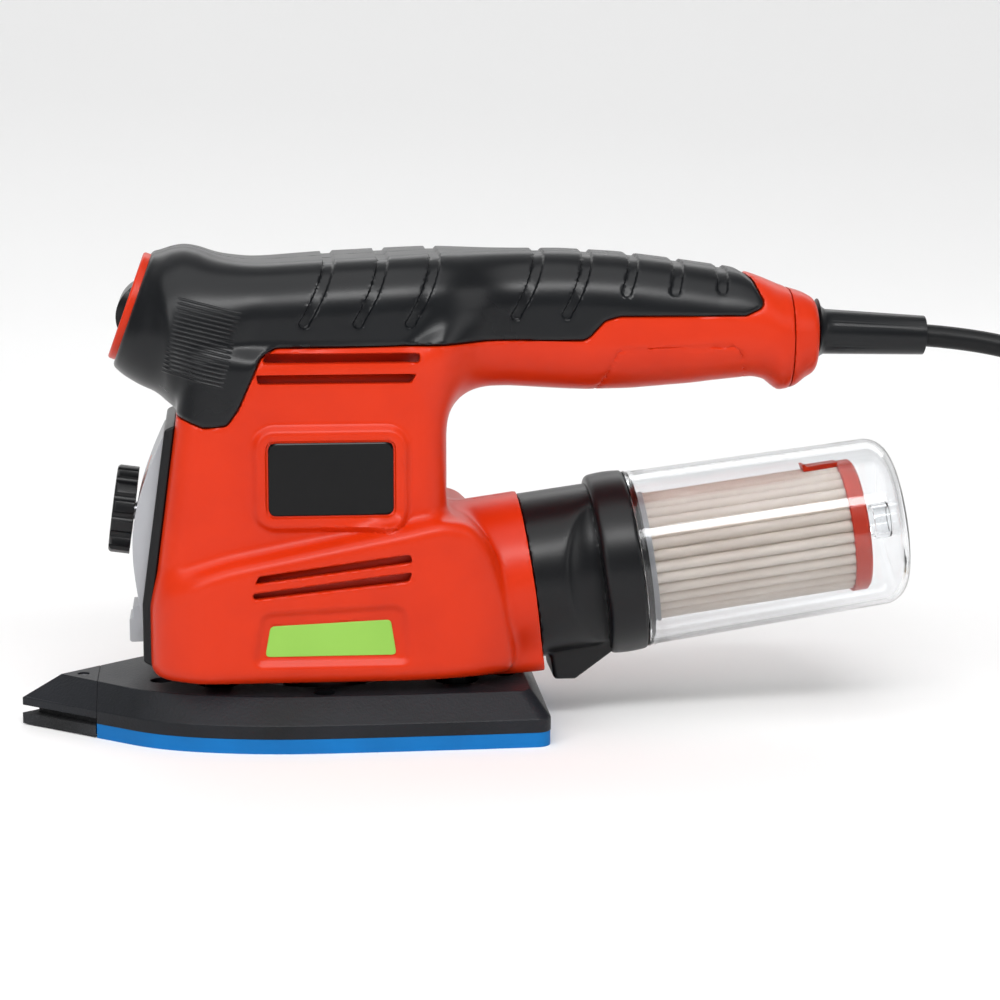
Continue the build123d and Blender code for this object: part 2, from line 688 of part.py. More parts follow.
# ---------------------------------------------------------------- platen
def platen_outline(inset, front=None):
    """Iron-shaped outline, pulled in by an inset all round."""
    nose = PLATEN_NOSE + inset / sin(radians(40.0))
    rear = PLATEN_REAR - inset * 0.72
    flank_x = -62.0
    flank_y = 31.0 - inset
    side_y = PLATEN_SIDE - inset
    rear_y = 45.5 - inset
    corner = 5.0
    slope = (1.0, 0.84)
    return outline(
        Line((nose, 0), (flank_x, flank_y)),
        Spline((flank_x, flank_y), (-28.0, 45.3 - inset), (-4.0, side_y), tangents=(slope, (1, 0))),
        Spline((-4.0, side_y), (40.0, side_y - 0.9), (rear - corner, rear_y), tangents=((1, 0), (1, -0.06))),
        RadiusArc((rear - corner, rear_y), (rear, rear_y - corner), corner),
        Line((rear, rear_y - corner), (rear, -rear_y + corner)),
        RadiusArc((rear, -rear_y + corner), (rear - corner, -rear_y), corner),
        Spline((rear - corner, -rear_y), (40.0, -side_y + 0.9), (-4.0, -side_y), tangents=((-1, -0.06), (-1, 0))),
        Spline((-4.0, -side_y), (-28.0, -45.3 + inset), (flank_x, -flank_y), tangents=((-1, 0), (-1.0, 0.84))),
        Line((flank_x, -flank_y), (nose, 0)),
    )


def platen_solid():
    """Rim band and chamfered flanks of the whole platen."""
    rim = Pos(0, 0, PAD_THICKNESS) * extrude(platen_outline(0.0), PLATEN_RIM_TOP - PAD_THICKNESS)
    low = Pos(0, 0, PLATEN_RIM_TOP) * platen_outline(0.0)
    high = Pos(0, 0, PLATEN_TOP) * platen_outline(PLATEN_CHAMFER)
    return rim + loft([low, high], ruled=True)


def ahead_of_seam():
    """Everything in front of the nose seam."""
    return Pos(NOSE_SEAM - 50.0, 0, 10.0) * Box(100.0, 120.0, 60.0)


def dust_holes(top):
    """Suction holes down to the sanding face."""
    return [upright(3.5, -1.0, top, x, side * y) for x, y in DUST_HOLES for side in (-1, 1)]


def platen_base():
    """Main platen with a seat for the carrier and pockets for the legs."""
    base = platen_solid() - ahead_of_seam()
    base -= upright(CARRIER_RADIUS, CARRIER_BOTTOM, 30.0)
    for x, y in LEG_PLACES:
        base -= upright(LEG_RADIUS + LEG_CLEARANCE, LEG_BOTTOM - 0.6, 30.0, x, y)
    for hole in dust_holes(30.0):
        base -= hole
    return base


def nose_tip():
    """Changeable tip, hollow below, that holds the small pad."""
    tip = platen_solid() & ahead_of_seam()
    tip -= Pos(-90.0, 0, 0) * Box(60.0, 60.0, 2 * NOSE_UNDERSIDE)
    return tip - upright(2.0, 0, 30.0, NOSE_SCREW_X)


def nose_screw():
    """Countersunk screw that holds the tip's pad from above."""
    return upright(1.9, TIP_PAD_TOP + 3.0, PLATEN_TOP - 0.6, NOSE_SCREW_X)


def sanding_pad():
    """Foam pad under the main platen."""
    pad = extrude(platen_outline(0.2), PAD_THICKNESS) - ahead_of_seam()
    for hole in dust_holes(PAD_THICKNESS + 1.0):
        pad -= hole
    return pad


def tip_pad():
    """Small rough pad under the tip."""
    slab = Pos(0, 0, 0.4) * extrude(platen_outline(0.0), TIP_PAD_TOP - 0.4) & ahead_of_seam()
    core = Pos(0, 0, TIP_PAD_TOP) * extrude(platen_outline(3.5), NOSE_UNDERSIDE - TIP_PAD_TOP) & ahead_of_seam()
    return (slab + core) & (Pos(-87.2, 0, 5.0) * Box(25.6, 60.0, 20.0))


def platen_carrier():
    """Cast hub that seats the drive bearing."""
    hub = upright(CARRIER_RADIUS - 0.2, CARRIER_BOTTOM, 11.4) + upright(14.0, 8.4, 17.2, ECCENTRICITY)
    hub -= upright(BEARING_RADIUS, PIN_BEARING_Z, 20.0, ECCENTRICITY)
    for x, y in carrier_screw_places():
        hub -= upright(2.0, 5.0, 20.0, x, y)
    return hub


def carrier_screw_places():
    """Four places round the carrier's rim."""
    return [(20.0 * cos(radians(angle)), 20.0 * sin(radians(angle))) for angle in (45, 135, 225, 315)]


def carrier_screws():
    """Four flat-headed screws."""
    screws = []
    for x, y in carrier_screw_places():
        screws.append(upright(2.0, CARRIER_BOTTOM, 11.4, x, y) + upright(3.4, 11.4, 13.2, x, y))
    return Compound(children=screws)


def orbit_legs():
    """Four rubber posts between the housing and the platen."""
    legs = []
    for x, y in LEG_PLACES:
        legs.append(upright(LEG_RADIUS, LEG_BOTTOM, BODY_BOTTOM + SHELL_WALL + 5.0, x, y))
    return Compound(children=legs)


# ---------------------------------------------------------------- dust canister
def dust_collar():
    """Neck, latch and ring between the outlet and the cup."""
    gap = 0.3
    neck_start = OUTLET_LENGTH + gap
    collar = extrude(canister_plane(neck_start) * Circle(NECK_RADIUS), -neck_start)
    collar += side_prism([(75.7, 22.0), (77.0, 14.2), (84.0, 14.2), (97.0, 23.7), (97.0, 32.0), (75.7, 32.0)], 12.0)
    for side in (-1, 1):
        place = canister_plane(-RING_WIDTH - 6.0) * Pos(side * 39.0, 0, 0)
        collar -= place * Rot(90, 0, 0) * Cylinder(15.0, 70.0)
    collar += extrude(canister_plane(-RING_WIDTH) * Circle(RING_RADIUS), RING_WIDTH)
    collar += extrude(canister_plane(OUTLET_LENGTH - 14.0) * Circle(SPIGOT_RADIUS), 16.0)
    collar += extrude(canister_plane(-1.0) * Circle(CUP_MOUTH_RADIUS - CUP_WALL - 0.4), 7.0)
    collar -= extrude(canister_plane(OUTLET_LENGTH - 20.0) * Circle(18.0), 80.0)
    collar -= extrude(canister_plane(OUTLET_LENGTH - 20.0) * Circle(22.0), 44.0)
    collar -= extrude(canister_plane(-6.0) * Circle(23.5), 30.0) - extrude(canister_plane(-6.0) * Circle(23.0), 3.0)
    return collar - outlet_seal()


def outlet_seal():
    """Rubber ring in a groove of the collar's spigot."""
    return canister_plane(OUTLET_LENGTH - 8.0) * Torus(SPIGOT_RADIUS - 0.8, 1.0)


def dust_cup():
    """Clear cup with a rounded end, a bead at its mouth and a ribbed boss inside."""
    start = canister_plane(0.3)
    end = canister_plane(CUP_LENGTH)
    cup = loft([start * Circle(CUP_MOUTH_RADIUS), end * Circle(CUP_END_RADIUS)])
    far_edge = cup.edges().sort_by(Axis.X)[-1]
    cup = fillet(far_edge, 8.0)
    room = loft([
        canister_plane(-1.0) * Circle(CUP_MOUTH_RADIUS - CUP_WALL),
        canister_plane(CUP_LENGTH - CUP_WALL) * Circle(CUP_END_RADIUS - CUP_WALL),
    ])
    room = fillet(room.edges().sort_by(Axis.X)[-1], 6.0)
    cup -= room
    boss = tube(canister_plane(CUP_LENGTH - CUP_WALL - 7.0), 6.0, 4.4, 8.0)
    for angle in (0.0, 90.0):
        boss += extrude(canister_plane(CUP_LENGTH - CUP_WALL - 4.0) * Rot(0, 0, angle) * Rectangle(30.0, 1.2), 5.0)
    return cup + boss


def filter_paper():
    """Pleated paper tube."""
    points = []
    for index in range(2 * PLEATS):
        radius = FILTER_RADIUS if index % 2 == 0 else FILTER_RADIUS - 4.2
        angle = pi * index / PLEATS
        points.append((radius * cos(angle), radius * sin(angle)))
    star = outline(Polyline(*points, close=True))
    paper = extrude(canister_plane(FILTER_START + 4.0) * star, FILTER_LENGTH - 4.0)
    return paper - extrude(canister_plane(FILTER_START) * Circle(CORE_RADIUS), FILTER_LENGTH + 5.0)


def filter_core():
    """Plastic tube with open windows inside the paper, and the flange that plugs into the collar."""
    core = tube(canister_plane(FILTER_START + 4.0), CORE_RADIUS, CORE_RADIUS - 1.5, FILTER_LENGTH - 4.0)
    for along in (8.0, 30.0, 52.0):
        for angle in (0.0, 60.0, 120.0):
            window = canister_plane(FILTER_START + along) * Rot(0, 0, angle) * Rectangle(40.0, 9.0)
            core -= extrude(window, 16.0)
    return core + tube(canister_plane(FILTER_START), FILTER_RADIUS + 0.6, CORE_RADIUS - 1.5, 4.0)


def filter_end_ring():
    """Coloured cap on the filter's far end."""
    start = canister_plane(FILTER_START + FILTER_LENGTH)
    ring = extrude(start * Circle(FILTER_RADIUS + 0.8), FILTER_RING_WIDTH)
    return ring - extrude(canister_plane(FILTER_START + FILTER_LENGTH + 1.6) * Circle(FILTER_RADIUS - 1.2), 10.0)


# ---------------------------------------------------------------- cord and plug
def corner_radii(points):
    """Largest tangent arc that each corner of the route has room for."""
    radii = []
    for before, here, after in zip(points, points[1:], points[2:]):
        first = Vector(*here) - Vector(*before)
        second = Vector(*after) - Vector(*here)
        half_turn = radians(first.get_angle(second)) / 2
        radii.append(0.45 * min(first.length, second.length) / tan(half_turn))
    return radii


def cord_lead():
    """The cord from the strain relief down to the coil."""
    radii = corner_radii(CORD_ROUTE)
    print("cord radii", [round(radius) for radius in radii])
    path = FilletPolyline(*CORD_ROUTE, radius=radii)
    section = Plane(path @ 0, z_dir=path % 0) * Circle(CORD_RADIUS)
    lead = sweep(section, path=path)
    print("cord tube", round(path.length, 1), "volume ratio", lead.volume / (pi * CORD_RADIUS ** 2 * path.length))
    return lead


def cord_coil():
    """Outer shape of the two-layer coil."""
    outer = COIL_OUTER + CORD_RADIUS
    inner = COIL_OUTER - 2 * CORD_RADIUS * COIL_TURNS_PER_LAYER - CORD_RADIUS
    height = 2 * CORD_RADIUS * COIL_LAYERS
    ring = upright(outer, 0, height, *COIL_CENTRE) - upright(inner, -1, height + 1, *COIL_CENTRE)
    return fillet(ring.edges(), CORD_RADIUS - 0.5)


def cord_tie():
    """Strap round the coil's turns on its far side."""
    middle = COIL_OUTER - CORD_RADIUS * COIL_TURNS_PER_LAYER
    width = 2 * (CORD_RADIUS * COIL_TURNS_PER_LAYER + CORD_RADIUS) + 2.4
    height = 2 * CORD_RADIUS * COIL_LAYERS + 1.2
    place = Pos(COIL_CENTRE[0] + middle, 0, height / 2)
    strap = place * Box(width, 9.0, height)
    strap = fillet(strap.edges().filter_by(Axis.Y), CORD_RADIUS)
    return strap - cord_coil()


def cord_tail():
    """Short straight end of the cord between the coil and the plug."""
    start = Plane((COIL_CENTRE[0], COIL_OUTER, 3 * CORD_RADIUS), z_dir=(-1, 0, 0))
    return extrude(start * Circle(CORD_RADIUS), TAIL_LENGTH)


def plug_plane(along):
    """Plane square to the plug's axis, so far towards its blades."""
    return Plane((COIL_CENTRE[0] - TAIL_LENGTH - along, COIL_OUTER, 3 * CORD_RADIUS), x_dir=(0, 1, 0), z_dir=(-1, 0, 0))


def plug_body():
    """Moulded plug with a tapered strain relief."""
    boot = loft([plug_plane(0) * Circle(5.2), plug_plane(12.0) * Circle(7.5)])
    grip = loft([
        plug_plane(12.0) * RectangleRounded(15.0, 15.0, 7.0), plug_plane(20.0) * RectangleRounded(22.0, 19.0, 7.0),
        plug_plane(36.0) * RectangleRounded(25.0, 21.0, 6.0),
    ])
    return boot + grip


def plug_blades():
    """Two flat mains blades."""
    blades = []
    for side in (-1, 1):
        blade = extrude(plug_plane(36.0) * Pos(side * 6.35, 0, 0) * Rectangle(1.5, 6.3), 17.0)
        blades.append(blade)
    return Compound(children=blades)


# ---------------------------------------------------------------- everything
def main():
    os.makedirs("parts", exist_ok=True)
    shell, rubber = housing()
    for side, name in ((-1, "left"), (1, "right")):
        save(half(shell, side), name + "_shell")
        save(half(rubber, side), name + "_grip")
        save(badge(side), name + "_badge")
        save(side_label(side), name + "_label")
    save(Compound(children=[housing_screw(x, z) for x, z in SCREW_PLACES]), "housing_screws")
    save(bearing(UPPER_BEARING_Z), "upper_bearing")
    save(bearing(LOWER_BEARING_Z), "lower_bearing")
    save(bearing(PIN_BEARING_Z, ECCENTRICITY), "drive_bearing")
    spring_start = (-53.4, 0, BUTTON_Z)
    save(coil_spring(spring_start, (1, 0, 0), 8.0, 2.2, 0.35, 5), "release_spring")
    for make in (
        switch_bezel, power_rocker, switch_module, front_trim, selector_plate, selector_knob, selector_spindle,
        selector_switch, release_button, release_guide, motor_stator, field_windings, armature_core,
        armature_windings, commutator, motor_shaft, cooling_fan, counterweight, brush_holders, carbon_brushes,
        brush_springs, fan_housing, rear_end_ring, strain_relief, inner_cord, cord_clamp, control_board,
        platen_base, nose_tip, nose_screw, sanding_pad, tip_pad, platen_carrier, carrier_screws, orbit_legs,
        outlet_seal, dust_collar, dust_cup, filter_paper, filter_core, filter_end_ring,
        cord_lead, cord_coil, cord_tie, cord_tail, plug_body, plug_blades,
    ):
        save(make(), make.__name__)


if __name__ == "__main__":
    main()
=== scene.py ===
import json
import logging
import math
from dataclasses import dataclass, field
from enum import Enum
from functools import cache, partial
from typing import Callable, Sequence

import bpy
import bmesh
import numpy as np
from mathutils import Matrix, Vector


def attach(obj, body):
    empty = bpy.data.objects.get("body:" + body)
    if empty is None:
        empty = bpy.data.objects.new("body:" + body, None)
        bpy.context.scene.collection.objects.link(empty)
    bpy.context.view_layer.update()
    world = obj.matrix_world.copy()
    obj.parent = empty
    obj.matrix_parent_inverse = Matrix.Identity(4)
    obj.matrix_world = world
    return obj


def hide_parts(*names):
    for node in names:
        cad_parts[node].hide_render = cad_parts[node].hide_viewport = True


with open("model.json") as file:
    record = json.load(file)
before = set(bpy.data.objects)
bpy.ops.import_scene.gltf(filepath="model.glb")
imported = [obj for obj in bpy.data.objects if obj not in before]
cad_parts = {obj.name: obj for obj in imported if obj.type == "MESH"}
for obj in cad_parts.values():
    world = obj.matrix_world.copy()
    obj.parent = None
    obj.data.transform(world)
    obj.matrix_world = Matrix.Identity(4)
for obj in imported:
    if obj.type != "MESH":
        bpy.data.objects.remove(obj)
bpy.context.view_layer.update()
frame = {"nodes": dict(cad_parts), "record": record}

logging.basicConfig(level=logging.INFO, format="%(message)s")
LOG = logging.getLogger("sander")
MM = 0.001
Array = np.ndarray
Place = tuple[float, float]
Outline = Sequence[tuple[float, float, float]]
Solid = Callable[[Array, Array, Array], Array]


class Side(Enum):
    """The two halves of the housing."""

    LEFT = -1
    RIGHT = 1


# ------------------------------------------------------------------ finishes
def srgb(code: str) -> tuple[float, float, float, float]:
    """Linear colour of a six-digit sRGB code.

    Args:
        code: the colour as RRGGBB.

    Returns:
        Linear red, green, blue and an alpha of 1.
    """
    parts = [int(code[i:i + 2], 16) / 255 for i in (0, 2, 4)]
    linear = [c / 12.92 if c <= 0.04045 else ((c + 0.055) / 1.055) ** 2.4 for c in parts]
    return (linear[0], linear[1], linear[2], 1.0)


def group_socket(tree: bpy.types.NodeTree, name: str, way: str, default: float | None = None) -> None:
    """Adds a named number socket to a node group.

    Args:
        tree: the group.
        name: the socket's name.
        way: INPUT or OUTPUT.
        default: the value that an input starts with.
    """
    socket = tree.interface.new_socket(name=name, in_out=way, socket_type="NodeSocketFloat")
    if default is not None:
        socket.default_value = default


def math_step(tree: bpy.types.NodeTree, operation: str,
              *values: bpy.types.NodeSocket | float) -> bpy.types.NodeSocket:
    """Adds one arithmetic node to a tree.

    Args:
        tree: the tree.
        operation: what the node works out.
        values: its inputs, each a number or a socket.

    Returns:
        The socket with the result.
    """
    node = tree.nodes.new("ShaderNodeMath")
    node.operation = operation
    for socket, value in zip(node.inputs, values):
        if isinstance(value, (int, float)):
            socket.default_value = value
        else:
            tree.links.new(value, socket)
    return node.outputs[0]


@cache
def grain_group() -> bpy.types.NodeTree:
    """Moulded grain: a height for bump and a soft mask for colour and gloss.

    Returns:
        The group.
    """
    tree = bpy.data.node_groups.new("moulded_grain", "ShaderNodeTree")
    group_socket(tree, "Fine Scale", "INPUT", 1500.0)
    group_socket(tree, "Broad Scale", "INPUT", 40.0)
    group_socket(tree, "Height", "OUTPUT")
    group_socket(tree, "Mask", "OUTPUT")
    nodes, links = tree.nodes, tree.links
    inputs = nodes.new("NodeGroupInput")
    outputs = nodes.new("NodeGroupOutput")
    place = nodes.new("ShaderNodeTexCoord")
    fine = nodes.new("ShaderNodeTexNoise")
    fine.inputs["Detail"].default_value = 2.0
    fine.inputs["Roughness"].default_value = 0.65
    broad = nodes.new("ShaderNodeTexNoise")
    broad.inputs["Detail"].default_value = 3.0
    links.new(place.outputs["Object"], fine.inputs["Vector"])
    links.new(place.outputs["Object"], broad.inputs["Vector"])
    links.new(inputs.outputs["Fine Scale"], fine.inputs["Scale"])
    links.new(inputs.outputs["Broad Scale"], broad.inputs["Scale"])
    links.new(fine.outputs["Fac"], outputs.inputs["Height"])
    links.new(broad.outputs["Fac"], outputs.inputs["Mask"])
    return tree


def started(name: str) -> tuple[bpy.types.Material, bpy.types.Node]:
    """Starts a material.

    Args:
        name: the finish's name.

    Returns:
        The material and its shader.
    """
    made = bpy.data.materials.new("look_" + name)
    made.use_nodes = True
    return made, made.node_tree.nodes["Principled BSDF"]


def grained(made: bpy.types.Material, scale: float, smoothest: float,
            dullest: float) -> bpy.types.Node:
    """Adds the moulded grain to a material and lets its mask vary the roughness.

    Args:
        made: the material.
        scale: how fine the grain is.
        smoothest: the lowest roughness.
        dullest: the highest roughness.

    Returns:
        The grain's node.
    """
    nodes, links = made.node_tree.nodes, made.node_tree.links
    grain = nodes.new("ShaderNodeGroup")
    grain.node_tree = grain_group()
    grain.inputs["Fine Scale"].default_value = scale
    gloss = nodes.new("ShaderNodeMapRange")
    gloss.inputs["To Min"].default_value = smoothest
    gloss.inputs["To Max"].default_value = dullest
    links.new(grain.outputs["Mask"], gloss.inputs["Value"])
    links.new(gloss.outputs["Result"], nodes["Principled BSDF"].inputs["Roughness"])
    return grain


@dataclass(frozen=True)
class Finish:
    """An opaque surface: its colour, how it varies, its gloss and its grain."""

    name: str
    colour: str
    shade: str
    roughness: float
    grain_scale: float = 1500.0
    grain_depth: float = 0.02
    metallic: float = 0.0
    coat: float = 0.0
    specular: float = 0.5
    spread: float = 0.06
    sheen: float = 0.0

    @cache
    def material(self) -> bpy.types.Material:
        """The finish as a material, made once.

        Returns:
            The material.
        """
        made, shader = started(self.name)
        nodes, links = made.node_tree.nodes, made.node_tree.links
        for label, value in (
            ("Metallic", self.metallic), ("Coat Weight", self.coat), ("Coat Roughness", 0.12),
            ("Specular IOR Level", self.specular), ("Sheen Weight", self.sheen),
        ):
            shader.inputs[label].default_value = value
        smoothest = max(0.02, self.roughness - self.spread)
        grain = grained(made, self.grain_scale, smoothest, self.roughness + self.spread)
        mix = nodes.new("ShaderNodeMix")
        mix.data_type = "RGBA"
        mix.inputs["A"].default_value = srgb(self.shade)
        mix.inputs["B"].default_value = srgb(self.colour)
        ramp = nodes.new("ShaderNodeMapRange")
        ramp.inputs["From Min"].default_value = 0.3
        ramp.inputs["From Max"].default_value = 0.6
        links.new(grain.outputs["Mask"], ramp.inputs["Value"])
        links.new(ramp.outputs["Result"], mix.inputs["Factor"])
        links.new(mix.outputs["Result"], shader.inputs["Base Color"])
        bump = nodes.new("ShaderNodeBump")
        bump.inputs["Strength"].default_value = 1.0
        bump.inputs["Distance"].default_value = self.grain_depth * MM
        links.new(grain.outputs["Height"], bump.inputs["Height"])
        links.new(bump.outputs["Normal"], shader.inputs["Normal"])
        return made


@dataclass(frozen=True)
class ClearFinish:
    """Clear moulded plastic with faint haze."""

    name: str
    colour: str
    roughness: float

    @cache
    def material(self) -> bpy.types.Material:
        """The finish as a material, made once.

        Returns:
            The material.
        """
        made, shader = started(self.name)
        shader.inputs["Base Color"].default_value = srgb(self.colour)
        shader.inputs["Transmission Weight"].default_value = 1.0
        shader.inputs["IOR"].default_value = 1.45
        grained(made, 300.0, 0.0, self.roughness)
        return made


@dataclass(frozen=True)
class DialFinish:
    """Light plastic with plain coloured marks printed round the selector."""

    name: str
    base: Finish
    mark: str
    shade: str
    centre: float

    @cache
    def material(self) -> bpy.types.Material:
        """The finish as a material, made once.

        Returns:
            The material.
        """
        made = self.base.material().copy()
        made.name = "look_" + self.name
        nodes, links = made.node_tree.nodes, made.node_tree.links
        shader = nodes["Principled BSDF"]
        mixed = shader.inputs["Base Color"].links[0].from_socket
        marks = nodes.new("ShaderNodeGroup")
        marks.node_tree = dial_group()
        marks.inputs["Centre"].default_value = self.centre * MM
        for output, colour in (("Wedges", self.mark), ("Outline", self.shade)):
            mix = nodes.new("ShaderNodeMix")
            mix.data_type = "RGBA"
            links.new(marks.outputs[output], mix.inputs["Factor"])
            links.new(mixed, mix.inputs["A"])
            mix.inputs["B"].default_value = srgb(colour)
            mixed = mix.outputs["Result"]
        links.new(mixed, shader.inputs["Base Color"])
        return made


def dial_group() -> bpy.types.NodeTree:
    """Masks of plain wedges and their outlines in a ring round a dial on the front panel.

    Returns:
        The group.
    """
    wedges, lean, duty, edge = 7.0, 260.0, 0.15, 0.22
    inner_radius, outer_radius = 0.0125, 0.0196
    tree = bpy.data.node_groups.new("dial_marks", "ShaderNodeTree")
    group_socket(tree, "Centre", "INPUT", 0.07)
    group_socket(tree, "Wedges", "OUTPUT")
    group_socket(tree, "Outline", "OUTPUT")
    nodes, links = tree.nodes, tree.links
    step = partial(math_step, tree)
    inputs = nodes.new("NodeGroupInput")
    outputs = nodes.new("NodeGroupOutput")
    place = nodes.new("ShaderNodeTexCoord")
    apart = nodes.new("ShaderNodeSeparateXYZ")
    links.new(place.outputs["Object"], apart.inputs[0])
    side = apart.outputs["Y"]
    up = step("SUBTRACT", apart.outputs["Z"], inputs.outputs["Centre"])
    reach = step("SQRT", step("ADD", step("MULTIPLY", up, up), step("MULTIPLY", side, side)))
    angle = step("ARCTAN2", up, side)
    swing = step("SINE", step("ADD", step("MULTIPLY", angle, wedges), step("MULTIPLY", reach, lean)))
    past, short = step("GREATER_THAN", reach, inner_radius), step("LESS_THAN", reach, outer_radius)
    band = step("MULTIPLY", past, short)
    links.new(step("MULTIPLY", band, step("GREATER_THAN", swing, duty)), outputs.inputs["Wedges"])
    near = step("LESS_THAN", step("ABSOLUTE", step("SUBTRACT", swing, duty)), edge)
    links.new(step("MULTIPLY", band, near), outputs.inputs["Outline"])
    return tree


ORANGE = Finish("orange_abs", "CC2E06", "C42A05", 0.34, 1800.0, 0.010, specular=0.26)
RUBBER = Finish("grip_rubber", "0D0F12", "0B0C0F", 0.29, 2200.0, 0.012, specular=0.32)
BLACK = Finish("black_nylon", "0D0E11", "0B0C0E", 0.32, 1600.0, 0.02, specular=0.3)
PLATEN = Finish("platen_nylon", "1A1C21", "121417", 0.44, 1000.0, 0.14, specular=0.26)
GREY = Finish("light_grey_abs", "A9AAAE", "A2A3A8", 0.35, 1500.0, 0.01)
BADGE = Finish("badge_gloss", "030304", "020203", 0.16, 1500.0, 0.001, specular=0.22)
DIAL = DialFinish("printed_plate", GREY, "E0541C", "1A1A1C", 70.4)
GREEN = Finish("label_green", "8CC04A", "86BA45", 0.42, 1500.0, 0.004)
BLUE = Finish("foam_blue", "006CB2", "0064A6", 0.62, 1400.0, 0.05, specular=0.25)
ROUGH = Finish("rough_pad", "0E0F11", "2B2C30", 0.8, 520.0, 0.9, spread=0.15)
PAPER = Finish("filter_paper", "E6DBD0", "DDD0C4", 0.85, 900.0, 0.05, sheen=0.2)
STEEL = Finish("steel", "B5B5BA", "A9A9AE", 0.3, 1500.0, 0.01, metallic=1.0)
IRON = Finish("lamination", "6A6A70", "5A5A60", 0.45, 1500.0, 0.02, metallic=1.0)
COPPER = Finish("copper_wire", "B8653A", "A85A33", 0.35, 900.0, 0.1, metallic=1.0)
BRASS = Finish("brass", "C8A050", "B89045", 0.3, 1500.0, 0.01, metallic=1.0)
CARBON = Finish("carbon", "151515", "101010", 0.6, 900.0, 0.05)
BOARD = Finish("board_green", "1F5F38", "1A5530", 0.4, 900.0, 0.02)
ALUMINIUM = Finish("cast_aluminium", "BFC1C4", "B2B4B8", 0.4, 900.0, 0.05, metallic=1.0)
JACKET = Finish("cord_jacket", "0C0D0F", "0A0B0D", 0.4, 1800.0, 0.02, specular=0.25)
CLEAR = ClearFinish("clear_cup", "FBFCFD", 0.05)

AnyFinish = Finish | ClearFinish | DialFinish

# the finish of each material slot of the record
NODE_FINISH: dict[str, AnyFinish] = {
    "orange_shell": ORANGE, "black_rubber": RUBBER, "black_plastic": BLACK, "platen_plastic": PLATEN,
    "grey_plastic": GREY, "badge_black": BADGE, "label_green": GREEN, "blue_foam": BLUE, "rough_pad": ROUGH,
    "filter_paper": PAPER, "steel": STEEL, "lamination": IRON, "copper": COPPER, "brass": BRASS,
    "carbon": CARBON, "board": BOARD, "aluminium": ALUMINIUM, "cord_jacket": JACKET, "clear_plastic": CLEAR,
}


# ------------------------------------------------------------------ meshes
def linked(name: str, data: bpy.types.ID) -> bpy.types.Object:
    """A new object in the scene that shows the data.

    Args:
        name: the object's name.
        data: its mesh, curve, light or camera.

    Returns:
        The object.
    """
    made = bpy.data.objects.new(name, data)
    bpy.context.scene.collection.objects.link(made)
    return made


def smoothed(mesh: bpy.types.Mesh, angle: float) -> None:
    """Shades a mesh smooth except at edges sharper than an angle in degrees."""
    mesh.shade_smooth()
    mesh.set_sharp_from_angle(angle=math.radians(angle))


def fitted(piece: bpy.types.Object, body: str, slot: str, *nodes: str) -> None:
    """Puts a piece on its body and in the place of CAD nodes, which it hides.

    Args:
        piece: the finished piece.
        body: the body that it rides on.
        slot: the record's material slot; not used.
        nodes: the CAD nodes that it stands for, if any.
    """
    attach(piece, body)
    if nodes:
        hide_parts(*nodes)


def piece_from(name: str, points: Array, faces: Sequence, finish: AnyFinish,
               angle: float = 32.0) -> bpy.types.Object:
    """A smooth-shaded object with sharp edges past an angle.

    Args:
        name: the piece's name.
        points: corners in millimetres.
        faces: corner numbers of each face.
        finish: its material.
        angle: edges sharper than this, in degrees, stay sharp.

    Returns:
        The new object, linked to the scene.
    """
    mesh = bpy.data.meshes.new(name)
    mesh.from_pydata((np.asarray(points) * MM).tolist(), [], [list(map(int, face)) for face in faces])
    mesh.update()
    smoothed(mesh, angle)
    mesh.materials.append(finish.material())
    return linked(name, mesh)


def refined(node: str, finish: AnyFinish, name: str, body: str, slot: str,
            angle: float = 28.0, bevel: float = 0.0) -> bpy.types.Object:
    """A merged, smooth-shaded copy of a CAD node, with rounded edges if asked.

    Args:
        node: the CAD node that the copy stands for.
        finish: its material.
        name: the new piece's name.
        body: the body that it rides on.
        slot: the record's material slot; not used.
        angle: edges sharper than this, in degrees, stay sharp or are rounded.
        bevel: the rounding's width in millimetres, or 0.

    Returns:
        The new object.
    """
    mesh = frame["nodes"][node].data.copy()
    mesh.name = name
    work = bmesh.new()
    work.from_mesh(mesh)
    bmesh.ops.remove_doubles(work, verts=work.verts, dist=0.002 * MM)
    bmesh.ops.dissolve_limit(work, angle_limit=math.radians(0.4), verts=work.verts, edges=work.edges)
    work.to_mesh(mesh)
    work.free()
    mesh.materials.clear()
    mesh.materials.append(finish.material())
    smoothed(mesh, angle)
    piece = linked(name, mesh)
    if bevel:
        rounding = piece.modifiers.new("rounded_edges", "BEVEL")
        rounding.width = bevel * MM
        rounding.segments = 3
        rounding.limit_method = "ANGLE"
        rounding.angle_limit = math.radians(angle)
        rounding.harden_normals = True
    fitted(piece, body, slot, node)
    return piece


# ------------------------------------------------------------------ implicit solids
def soft_min(a: Array, b: Array, size: float | Array) -> Array:
    """Union of two distances with a fillet of about that size."""
    mix = np.clip(0.5 + 0.5 * (b - a) / size, 0.0, 1.0)
    return b + (a - b) * mix - size * mix * (1.0 - mix)


def soft_max(a: Array, b: Array, size: float | Array) -> Array:
    """Intersection of two distances with a rounded edge of about that size."""
    return -soft_min(-a, -b, size)


def rounded_box(u: Array, v: Array, half_u: float | Array, half_v: float | Array,
                corner: float | Array) -> Array:
    """Distance to a rounded rectangle in two directions.

    Args:
        u: places in one direction, from the middle.
        v: places in the other direction.
        half_u: half the width in the first direction.
        half_v: half the width in the other.
        corner: the corners' radius.

    Returns:
        The distance, negative inside.
    """
    a = np.abs(u) - half_u + corner
    b = np.abs(v) - half_v + corner
    return np.minimum(np.maximum(a, b), 0.0) + np.hypot(np.maximum(a, 0.0), np.maximum(b, 0.0)) - corner


